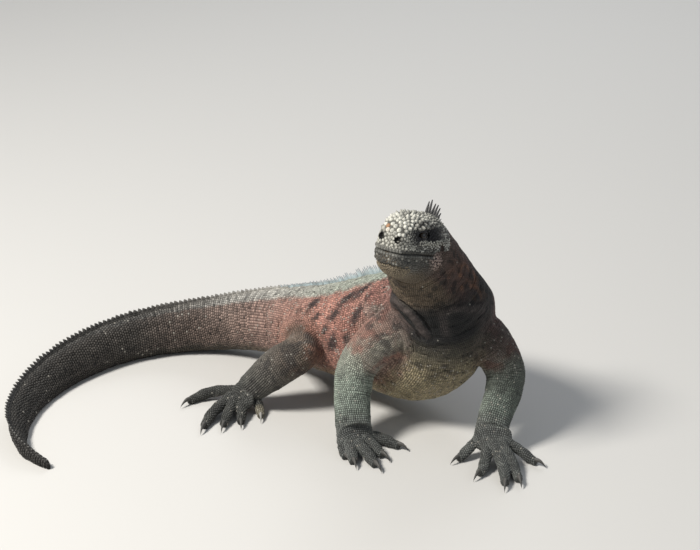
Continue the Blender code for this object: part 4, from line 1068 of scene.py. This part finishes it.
# The head's horny plates: pointed cones over the snout and crown, low round ones on the cheeks, the
# jaw and the throat, and oblong ones along the lips. They stand close, each on its own spot of hide.
SPOTS_TRIED = 60000
PLATES_END = 7.44  # the place down the body where the neck's scales take over
face_of_head = []
for polygon in skin.data.polygons:
    middle = co[list(polygon.vertices)].mean(0)
    if (Vector(middle) - middle_of_head).length < 0.075:
        face_of_head.append(tuple(polygon.vertices))
tris = np.array([(f[0], f[k], f[k + 1]) for f in face_of_head for k in range(1, len(f) - 1)])
corners = co[tris]
areas = np.linalg.norm(np.cross(corners[:, 1] - corners[:, 0], corners[:, 2] - corners[:, 0]), axis=1)
chance = np.random.default_rng(23)
picked = chance.choice(len(tris), SPOTS_TRIED, p=areas / areas.sum())
a, b = chance.uniform(0, 1, (2, len(picked)))
flip = a + b > 1
a[flip], b[flip] = 1 - a[flip], 1 - b[flip]
spots = (corners[picked, 0] + a[:, None] * (corners[picked, 1] - corners[picked, 0])
         + b[:, None] * (corners[picked, 2] - corners[picked, 0]))
spot_outs = skin_out[tris[picked]].mean(1)
spot_outs /= np.linalg.norm(spot_outs, axis=1)[:, None]
where = where_on(spots)
on_head = (where["body"][0] > 0.9) & (where["body"][1] < PLATES_END)
spots, spot_outs = spots[on_head], spot_outs[on_head]
back, side, up = in_head(spots)
down = where["body"][1][on_head]
around = where["body"][2][on_head]
crown = fade(up - 0.05 * back, 0.0235, 0.0290)
crown = np.maximum(crown, (1 - fade(back, 0.006, 0.014)) * fade(up, 0.0185, 0.0225))
cone_pitch = np.interp(back, (0.0, 0.034, 0.048, 0.07), (0.0050, 0.0052, 0.0037, 0.0031))
pitch = np.where(crown > 0.5, cone_pitch, 0.0023)
muzzle = (back < 0.010) & (up > 0.0065) & (crown <= 0.5)
pitch = np.where(muzzle, 0.0034, pitch)
jaw = (up < -0.004) & (up > -0.013) & (back < 0.05)
pitch = np.where(jaw, 0.0027, pitch)
pitch = np.where(up < -0.0150, 0.0020, pitch)
jowl = np.sqrt((back - 0.0530) ** 2 + (up + 0.0065) ** 2)
pitch = np.where((jowl < 0.0125) & (abs(side) > 0.02), 0.0029, pitch)
pitch = pitch * chance.uniform(0.88, 1.12, len(pitch))
keep = ~((abs(up - mouth_rise(back)) < 0.0040) & (back < MOUTH_LENGTH + 0.001))
for way in (-1, 1):
    centre, out_way, along, above = eye_axes(way)
    away = spots - np.array(centre + out_way * EYE_RADIUS * LID_RIM_OUT)
    oval = np.hypot(away @ np.array(along) / 1.22, away @ np.array(above) / 0.90)
    keep &= (oval > 0.0068) | (side * way < 0)
    keep &= np.linalg.norm(spots - on_face(NOSTRIL_PLACE, way), axis=1) > 0.0046
    keep &= np.linalg.norm(spots - on_face(EAR_PLACE, way), axis=1) > 0.0042
order = np.argsort(-pitch * keep + chance.uniform(0, 0.0008, len(pitch)))


def thinned(points, gaps, order):
    """Takes points in order, each no nearer to one taken before than the mean of their gaps."""
    cell = 0.007
    steps = [(dx, dy, dz) for dx in (-1, 0, 1) for dy in (-1, 0, 1) for dz in (-1, 0, 1)]
    taken, grid = [], {}

    def close(k, other):
        x, y, z = (a - b for a, b in zip(points[k], points[other]))
        limit = (gaps[k] + gaps[other]) * 0.41
        return x ** 2 + y ** 2 + z ** 2 < limit * limit

    for k in order:
        i, j, h = (int(value // cell) for value in points[k])
        others = [other for dx, dy, dz in steps for other in grid.get((i + dx, j + dy, h + dz), ())]
        if not any(close(k, other) for other in others):
            taken.append(k)
            grid.setdefault((i, j, h), []).append(k)
    return np.array(taken)


order = [k for k in order if keep[k]]
chosen = thinned(spots.tolist(), pitch.tolist(), order)
roots_here, outs_here = spots[chosen], spot_outs[chosen]
back, side, up, down, around = (x[chosen] for x in (back, side, up, down, around))
pitch, crown, jowl = pitch[chosen], crown[chosen], jowl[chosen]
n = len(chosen)
luck = chance.uniform(0, 1, n)
where = where_on(roots_here)
colours = markings_and_painted_light(roots_here, where)


def paint_plates(which, colour, shade):
    """Gives the chosen plates one colour, each in its own shade."""
    colours[which] = np.outer(shade, colour)[which]


top = crown > 0.5
fall_off = np.interp(back, (0.0, 0.03, 0.05, 0.07), (1.0, 0.90, 0.68, 0.48))
paint_plates(top, (0.72, 0.71, 0.63), fall_off * chance.uniform(0.45, 1.15, n))
front = (~top) & (up > 0.005) & (back < 0.022)
paint_plates(front, (0.50, 0.49, 0.43), chance.uniform(0.55, 1.15, n))
cheek = (~top) & (up > 0.004) & (back >= 0.022)
paint_plates(cheek, (0.23, 0.226, 0.202), np.where(luck < 0.30, 2.4, chance.uniform(0.6, 1.1, n)))
lower = (up <= 0.004) & (up > -0.0140) & (back < 0.050)
paint_plates(lower, (0.105, 0.102, 0.090), np.where(luck < 0.12, 2.6, chance.uniform(0.5, 1.1, n)))
under = (up <= -0.0140) & (back < 0.022)
paint_plates(under, (0.27, 0.22, 0.15), chance.uniform(0.65, 1.15, n))
mask = eye_mask(back, up) * (abs(side) > 0.012)
colours = mix(colours, (0.024, 0.024, 0.027), np.clip(1.15 * mask, 0, 1))
ridge = (abs(up - 0.0125 - 0.04 * (back - 0.03)) < 0.0024) & (abs(side) > 0.015)
ridge &= (back > 0.026) & (back < 0.078)
paint_plates(ridge, (0.44, 0.43, 0.375), chance.uniform(0.6, 1.15, n))
beads = (jowl < 0.0105) & (abs(side) > 0.02)
bead_shade = np.exp(-(jowl / 0.0085) ** 2) * chance.uniform(0.55, 1.2, n)
colours[beads] = mix(colours, (0.50, 0.38, 0.33), np.clip(bead_shade, 0, 1))[beads]
stain = np.exp(-((back - 0.0054) ** 2 + (side + 0.0074) ** 2 + (up - 0.0250) ** 2) / 0.0026 ** 2)
colours = mix(colours, (0.42, 0.19, 0.075), np.clip(1.3 * stain, 0, 1))
height = np.where(top, np.interp(back, (0.0, 0.034, 0.050, 0.07), (0.0030, 0.0037, 0.0026, 0.0018)),
                  np.where(front, 0.0007, 0.00075))
height = np.where(beads, 0.0011, height) * chance.uniform(0.75, 1.2, n)
height = np.where(ridge, 0.0013, height)
sizes = np.stack([pitch * 0.52, pitch * 0.50, height], 1)
tailward = -np.array(AHEAD)[None].repeat(n, 0)
patches = np.stack([down / BODY_PLACES, around / (2 * pi)], 1) * 0.99 + 0.003
CONE = [(-0.25, 1.08), (0.08, 1.0), (0.30, 0.70), (0.58, 0.40), (0.84, 0.17)]
# The bosses' rings run from a painted shade at the root, in the gaps between them, to a little over their
# colour; their tips are darker in their own colour.
plates = joined_scales("head_bosses", roots_here[top], outs_here[top], tailward[top], sizes[top],
                       colours[top], patches[top], rings=CONE, sides=7, lean=-0.12, tip_colour=0.75,
                       shades=(0.24, 0.62, 0.95, 1.15, 1.10))
boss_horn = horn_material("boss_horn", 0.60, 0.00025, 0.0012, deep=0.8, gloss=0.4)
plates.data.materials.append(boss_horn)
rest = ~top
# The face scales are painted darker at the root, a painted shade in the gaps between them.
plates = joined_scales("face_scales", roots_here[rest], outs_here[rest], tailward[rest], sizes[rest],
                       colours[rest], patches[rest], sides=7, lean=0.08,
                       rings=[(-0.45, 1.02), (0.40, 0.92), (0.85, 0.60)], root_shade=0.42)
plates.data.materials.append(boss_horn)

# The scales along the lips: one row above the mouth line and one below, oblong and close.
LIP_SCALE = 0.0036
lip_roots, lip_outs, lip_ways, lip_sizes, lip_colours, lip_patches = [], [], [], [], [], []
for rise, tall, shades in ((0.0023, 0.0017, (0.20, 0.12)), (-0.0023, 0.0017, (0.15, 0.10))):
    for way in (-1, 1):
        trail = []  # of the lip, from the middle of the snout back
        for k in range(160):
            reach = MOUTH_LENGTH * (k / 159) ** 1.6
            aim = head_place(reach + 0.012, 0, rise + mouth_rise(reach))
            turn = pi / 2 * min(1, k / 60)
            start = head_place(reach - 0.03 * cos(turn), way * 0.045 * sin(turn), rise)
            place = skin_tree.ray_cast(start, (aim - start).normalized())[0]
            if place is not None:
                trail.append(np.array(place))
        trail = np.array(trail)
        run = run_along(trail)
        count = int(run[-1] / LIP_SCALE)
        for k in range(count):
            middle = (k + 0.5) * run[-1] / count
            spot = np.array([np.interp(middle, run, trail[:, axis]) for axis in range(3)])
            after = np.array([np.interp(middle + 0.001, run, trail[:, axis]) for axis in range(3)])
            place = skin_tree.find_nearest(spot)[0]
            lip_roots.append(np.array(place))
            lip_outs.append(skin_out[vertex_tree.find(place)[1]])
            lip_ways.append(after - spot + 1e-9)
            lip_sizes.append((LIP_SCALE * 0.54, tall * chance.uniform(0.85, 1.1), 0.0005))
            share = chance.uniform(0, 1)
            shade = shades[0] * (1 - share) + shades[1] * share
            if rise > 0 and middle > 0.018:
                shade *= 0.45
            lip_colours.append(np.array((1.0, 0.98, 0.88)) * shade * (1.5 if chance.uniform() < 0.08 else 1))
            lip_patches.append((0.02 + 0.0033 * (k % 60), 0.25 * (1 + np.sign(rise)) + 0.1 + 0.05 * way))
# The lip scales are painted darker at the root, a painted shade in the gaps between them.
lips = joined_scales("lip_scales", *(np.array(x) for x in (lip_roots, lip_outs, lip_ways, lip_sizes,
                                                         lip_colours, lip_patches)),
                     sides=8, lean=0.0, rings=[(-0.7, 1.04), (0.35, 0.95), (0.90, 0.60)], root_shade=0.55)
lips.data.materials.append(boss_horn)


# The eyes: a wet dark globe, raised over a near-black brown iris and a round pupil, under thick beaded
# lids that leave an almond slit.
EYE_SLIT = (0.0066, 0.0037, 0.0030)  # half its length, and how far it opens upward and downward


def slit_place(side, turn, spread, radius):
    centre, out, along, above = eye_axes(side)
    x = EYE_SLIT[0] * cos(turn) * spread
    opening = EYE_SLIT[1] if sin(turn) > 0 else EYE_SLIT[2]
    y = opening * sin(turn) * abs(sin(turn)) ** 0.35 * (1 + (spread - 1) * 1.9) - 0.0006
    deep = max(0.0, radius ** 2 - x * x - y * y) ** 0.5
    return centre + along * x + above * y + out * deep


def ground_under(side, spot):
    """The skin's surface over a spot near the eye, looking along the eye's axis."""
    out = eye_axes(side)[1]
    place = skin_tree.ray_cast(spot + out * 0.02, -out)[0]
    return place if place is not None else spot


eye_gloss = bpy.data.materials.new("wet_eye")
eye_gloss.use_nodes = True
nodes, links = eye_gloss.node_tree.nodes, eye_gloss.node_tree.links
shader = nodes["Principled BSDF"]
shader.inputs["Roughness"].default_value = 0.06
shader.inputs["Coat Weight"].default_value = 0.8
shader.inputs["Specular IOR Level"].default_value = 0.2
shader.inputs["Coat Roughness"].default_value = 0.02
marking = nodes.new("ShaderNodeAttribute")
marking.attribute_name = "marking"
threads = nodes.new("ShaderNodeTexNoise")
threads.inputs["Scale"].default_value = 2200
place = nodes.new("ShaderNodeTexCoord")
links.new(place.outputs["Object"], threads.inputs["Vector"])
shaded = nodes.new("ShaderNodeMix")
shaded.data_type, shaded.blend_type = "RGBA", "OVERLAY"
shaded.inputs["Factor"].default_value = 0.6
links.new(marking.outputs["Color"], shaded.inputs["A"])
links.new(threads.outputs["Color"], shaded.inputs["B"])
links.new(shaded.outputs["Result"], shader.inputs["Base Color"])
lid_horn = horn_material("lid_hide", 0.55, 0.00025, 0.0008, deep=0.6, gloss=0.45)
for side, name in ((1, "eye_left"), (-1, "eye_right")):
    centre, out_way, along, above = eye_axes(side)
    bm = bmesh.new()
    bmesh.ops.create_uvsphere(bm, u_segments=96, v_segments=64, radius=EYE_RADIUS)
    turn = Vector((0, 0, 1)).rotation_difference(out_way).to_matrix().to_4x4()
    bmesh.ops.transform(bm, matrix=Matrix.Translation(centre) @ turn, verts=bm.verts)
    mesh = bpy.data.meshes.new(name + "_globe")
    bm.to_mesh(mesh)
    bm.free()
    points = vertices_of(mesh)
    away = (points - np.array(centre)) / EYE_RADIUS
    off_axis = np.arccos(np.clip(away @ np.array(out_way), -1, 1))
    points += away * (0.0007 * (1 - fade(off_axis, 0.25, 0.75)))[:, None]
    mesh.vertices.foreach_set("co", points.ravel())
    turn = np.arctan2(away @ np.array(above), away @ np.array(along))
    streak = 0.5 + 0.25 * np.sin(turn * 23) + 0.25 * np.sin(turn * 41 + 1)
    tone = mix(np.tile((0.014, 0.009, 0.006), (len(points), 1)), (0.040, 0.024, 0.012), streak)
    tone = mix(tone, (0.004, 0.004, 0.004), 1 - fade(off_axis, 0.26, 0.31))
    tone = mix(tone, (0.012, 0.010, 0.009), fade(off_axis, 0.60, 0.72))
    paint_points(mesh, tone)
    mesh.shade_smooth()
    mesh.materials.append(eye_gloss)
    globe = linked(name + "_globe", mesh)
    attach(globe, "root")
    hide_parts(name)
    turns = np.linspace(0, 2 * pi, 72, endpoint=False)
    levels = []
    for spread, radius in ((1.02, 0.97), (1.00, 1.03), (1.03, 1.08), (1.10, 1.11), (1.22, 1.12)):
        levels.append([slit_place(side, t, spread, EYE_RADIUS * radius) for t in turns])
    for spread, lift in ((1.38, 0.0003), (1.55, -0.0008)):
        level = []
        for t in turns:
            x, y = EYE_SLIT[0] * cos(t) * spread, EYE_SLIT[1] * sin(t) * (1 + (spread - 1) * 2.2)
            ground = ground_under(side, centre + along * x + above * y)
            level.append(ground + out_way * lift)
        levels.append(level)
    rings = np.array([[tuple(point) for point in level] for level in levels])
    bm = bmesh.new()
    rows = [[bm.verts.new(point) for point in ring] for ring in rings]
    count = len(turns)
    for lower_row, upper_row in zip(rows, rows[1:]):
        for k in range(count):
            quad = (lower_row[k], lower_row[(k + 1) % count], upper_row[(k + 1) % count], upper_row[k])
            bm.faces.new(quad if side > 0 else tuple(reversed(quad)))
    mesh = bpy.data.meshes.new(name + "_lids")
    bm.to_mesh(mesh)
    bm.free()
    points = vertices_of(mesh)
    paint_points(mesh, np.tile((0.030, 0.029, 0.030), (len(points), 1))
                 * (1 + 0.4 * mottle(points, 0.002, 40))[:, None])
    mesh.shade_smooth()
    mesh.materials.append(lid_horn)
    lids = linked(name + "_lids", mesh)
    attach(lids, "root")
    bead_roots, bead_outs = [], []
    for spread, radius, number in ((1.04, 1.08, 46), (1.15, 1.11, 44), (1.28, 1.10, 40)):
        for k in range(number):
            t = 2 * pi * (k + 0.5 * (number % 4) / 4) / number
            spot = slit_place(side, t, spread, EYE_RADIUS * radius)
            bead_roots.append(tuple(spot))
            bead_outs.append(tuple((spot - centre).normalized()))
    bead_roots, bead_outs = np.array(bead_roots), np.array(bead_outs)
    n = len(bead_roots)
    tone = np.tile((0.095, 0.094, 0.098), (n, 1)) * chance.uniform(0.5, 1.5, n)[:, None]
    # The beads are painted darker at the root, a painted shade, and lighter at the tip, a painted highlight.
    beads = joined_scales(name + "_lid_beads", bead_roots, bead_outs, np.tile(tuple(along), (n, 1)),
                          np.tile((0.00055, 0.00050, 0.00038), (n, 1)), tone,
                          np.stack([0.30 + 0.0033 * (np.arange(n) % 46), 0.2 + 0.1 * side
                                    + 0.004 * (np.arange(n) // 46)], 1), lean=0.0)
    beads.data.materials.append(lid_horn)


# The crest: a row of flat horny spines on the middle of the nape and back, then a low fold along the
# top of the tail with a saw edge of short teeth.
NAPE_SPINE, WITHERS_SPINE, RUMP_SPINE, TAIL_SPINE = 0.0170, 0.0130, 0.0040, 0.0092
NAPE = len(HEAD) - 1.05
CREST_KNOTS = [
    (NAPE, 0.95 * NAPE_SPINE), (NAPE + 0.3, NAPE_SPINE), (NECK_START + 0.3, 0.75 * NAPE_SPINE),
    (TRUNK_START, WITHERS_SPINE), (RUMP - 3.0, 0.95 * WITHERS_SPINE), (RUMP - 2.0, 0.8 * WITHERS_SPINE),
    (RUMP - 1.0, 0.5 * WITHERS_SPINE), (RUMP, RUMP_SPINE), (RUMP + 3.0, 0.8 * TAIL_SPINE),
    (RUMP + 6.0, TAIL_SPINE), (RUMP + 8.0, 0.9 * TAIL_SPINE), (len(SPINE) - 1, 0.0015),
]


def crest_height(u):
    return float(np.interp(u, [knot[0] for knot in CREST_KNOTS], [knot[1] for knot in CREST_KNOTS]))


def back_point(u):
    here, centre, forward, left, up = spine_frame(u)
    return centre + up * here.rise


def spaced_on_back(start, end, spacing):
    """Places along the middle of the back at even distances."""
    line = np.linspace(start, end, 1500)
    points = np.array([tuple(back_point(u)) for u in line])
    run = run_along(points)
    return np.interp(np.arange(0.0005, run[-1], spacing), run, line)


def spike_faces(first, levels, sides):
    """Faces of a pointed column: rings of points from the first one on, and the tip after them."""
    last, tip = first + (levels - 1) * sides, first + levels * sides
    around = [(k, (k + 1) % sides) for k in range(sides)]
    faces = [(start + k, start + sides + k, start + sides + after, start + after)
             for start in range(first, last, sides) for k, after in around]
    faces += [(last + k, tip, last + after) for k, after in around]
    return faces + [tuple(range(first, first + sides))]


SPINE_PROFILE = [(-0.16, 1.10), (0.0, 1.0), (0.18, 0.93), (0.36, 0.82), (0.55, 0.66), (0.72, 0.47),
                 (0.87, 0.27), (0.96, 0.12)]  # the height and width of each ring of a spine


def spines(name, start, end, spacing, broad, thin, base_share, colour, tip_colour, variety, lean):
    """Spines or teeth as one piece: tapered flat blades that lean back, rooted in the hide."""
    chance = np.random.default_rng(len(name))
    points, faces, tones, patches = [], [], [], []
    sides = 10
    for k, u in enumerate(spaced_on_back(start, end, spacing)):
        here, centre, forward, left, up = spine_frame(u)
        height = crest_height(u) * (1 - base_share) * chance.uniform(1 - variety, 1 + variety * 0.45)
        root = back_point(u) + up * crest_height(u) * base_share
        tilt, aside = lean * chance.uniform(0.75, 1.25), chance.uniform(-0.08, 0.08)
        reach = broad * chance.uniform(0.88, 1.1) * min(1.0, 0.35 + height / 0.006)
        own = (tint(BODY_PAINT, np.array([u]), 1)[0] * 0.8 if colour is None else np.array(colour))
        own = own * chance.uniform(0.65, 1.3)
        first = len(points)
        turns = np.arange(sides) * 2 * pi / sides
        for share, width in SPINE_PROFILE:
            spot = (root + up * height * share - forward * height * tilt * max(0, share) ** 1.5
                    + left * height * aside * max(0, share) ** 1.2)
            ring = (np.array(spot) + np.outer(np.cos(turns) * reach * width, forward)
                    + np.outer(np.sin(turns) * thin * (0.35 + 0.65 * width), left))
            points.extend(ring.tolist())
            blend_share = fade(np.array(share), 0.45, 1.0)
            # The root ring and the one below it are painted at three quarters of the spine's colour, a
            # painted shade where it meets the hide.
            tones.extend([tuple(own * (0.75 + 0.25 * (share > 0)) * (1 - blend_share)
                                + np.array(tip_colour) * blend_share)] * sides)
        tip = root + up * height - forward * height * tilt + left * height * aside
        points.append(tuple(tip))
        tones.append(tuple(tip_colour))
        faces.extend(spike_faces(first, len(SPINE_PROFILE), sides))
        patches.append(((u / BODY_PLACES) * 0.98 + 0.003, 0.25))
    mesh = bpy.data.meshes.new(name)
    mesh.from_pydata(points, [], faces)
    paint_points(mesh, np.clip(np.array(tones), 0.004, 0.9))
    mesh.shade_smooth()
    lay_out(mesh, sides, len(SPINE_PROFILE), np.array(patches))
    mesh.materials.append(crest_horn)
    made = linked(name, mesh)
    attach(made, "root")


crest_horn = horn_material("crest_horn", 0.50, 0.00015, 0.0007, deep=0.8, gloss=0.5)
spines("nape_spines", NAPE, NECK_START + 0.35, 0.0064, 0.0028, 0.0015, 0.0,
       (0.13, 0.125, 0.12), (0.030, 0.030, 0.033), 0.16, 0.03)
spines("neck_spines", NECK_START + 0.40, TRUNK_START, 0.0030, 0.0015, 0.0009, 0.0,
       (0.16, 0.16, 0.155), (0.06, 0.06, 0.065), 0.30, 0.38)
spines("back_spines", TRUNK_START + 0.02, RUMP + 0.4, 0.0025, 0.0014, 0.0008, 0.0,
       (0.42, 0.50, 0.52), (0.16, 0.19, 0.22), 0.30, 0.42)
FOLD_SHARE = 0.42  # of the tail crest's height, the rest being teeth
spines("tail_teeth", RUMP + 0.42, len(SPINE) - 1.1, 0.0058, 0.0033, 0.00125, FOLD_SHARE,
       None, (0.20, 0.195, 0.18), 0.22, 0.42)
fold_rings = []
for u in np.linspace(RUMP + 0.2, len(SPINE) - 1.06, 240):
    here, centre, forward, left, up = spine_frame(u)
    root = back_point(u)
    tall = crest_height(u) * (FOLD_SHARE + 0.10)
    section = []
    for k in range(12):
        t = 2 * pi * k / 12
        rise = (tall + 0.0016) * (0.5 + 0.5 * sin(t)) - 0.0016
        wide = 0.0019 * (1 - 0.62 * max(0, rise) / max(tall, 1e-6))
        section.append(tuple(root + up * rise + left * cos(t) * wide))
    fold_rings.append(section)
fold = linked("tail_crest_fold", tube_mesh("tail_crest_fold", [np.array(fold_rings)]))
face_outward(fold.data)
points = vertices_of(fold.data)
places_down = where_on(points)["body"][1]
paint_points(fold.data, tint(BODY_PAINT, places_down, 1) * (0.85 + 0.4 * mottle(points, 0.004, 50))[:, None])
fold.data.shade_smooth()
fold.data.materials.append(horn_material("fold_hide", 0.6, 0.0004, 0.0016))
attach(fold, "root")


# The claws: long hooked horn, flattened at the sides, each out of a cuff of hide at the end of its digit.
claw_horn = horn_material("claw_horn", 0.52, 0.0001, 0.0012, deep=0.85, gloss=0.3)
claw_points, claw_faces, claw_tones = [], [], []
for name, rows, side, digits, palm_height in LIMBS:
    for number, d in enumerate(digits):
        out_way, side_way = digit_sides(d, 1.0)
        root = digit_place(d, palm_height, 1.0, 0.15) - out_way * d.radius * 0.8
        rings = 14
        turns = np.linspace(0, 2 * pi, 14, endpoint=False)
        first = len(claw_points)
        pale = name.endswith("leg") and number == 0
        for k in range(rings):
            share = k / (rings - 1) * 0.97
            here = root + out_way * (d.claw + d.radius * 0.8) * share
            thick = 0.66 * d.radius * (1 - share) ** 0.70
            here.z += d.radius * (0.62 * sin(pi * share * 0.8) - 0.9 * share ** 2)
            here.z = max(here.z, thick * 0.9)
            ring = (np.array(here) + np.outer(np.cos(turns) * thick * 0.74, side_way)
                    + np.outer(np.sin(turns) * thick * (1 - 0.12 * (np.sin(turns) < 0)), UP))
            ring[:, 2] = np.maximum(ring[:, 2], 0.0)
            claw_points.extend(ring.tolist())
            shade = np.interp(share, (0, 0.25, 0.7, 1), (0.050, 0.075, 0.060, 0.035)) * (3.6 if pale else 1.0)
            # The upper half of each ring is painted up to half again as light, a painted highlight on the top
            # of the claw.
            claw_tones.extend([tuple(np.array((1.0, 0.97, 0.90)) * shade * (1 + 0.5 * max(0, sin(t))))
                               for t in turns])
        tip = root + out_way * (d.claw + d.radius * 0.8)
        tip.z = 0.0002
        claw_points.append(tuple(tip))
        claw_tones.append((0.04, 0.04, 0.038))
        claw_faces.extend(spike_faces(first, rings, len(turns)))
mesh = bpy.data.meshes.new("claws")
mesh.from_pydata(claw_points, [], claw_faces)
paint_points(mesh, np.array(claw_tones))
mesh.shade_smooth()
mesh.materials.append(claw_horn)
claws = linked("claws", mesh)
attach(claws, "root")
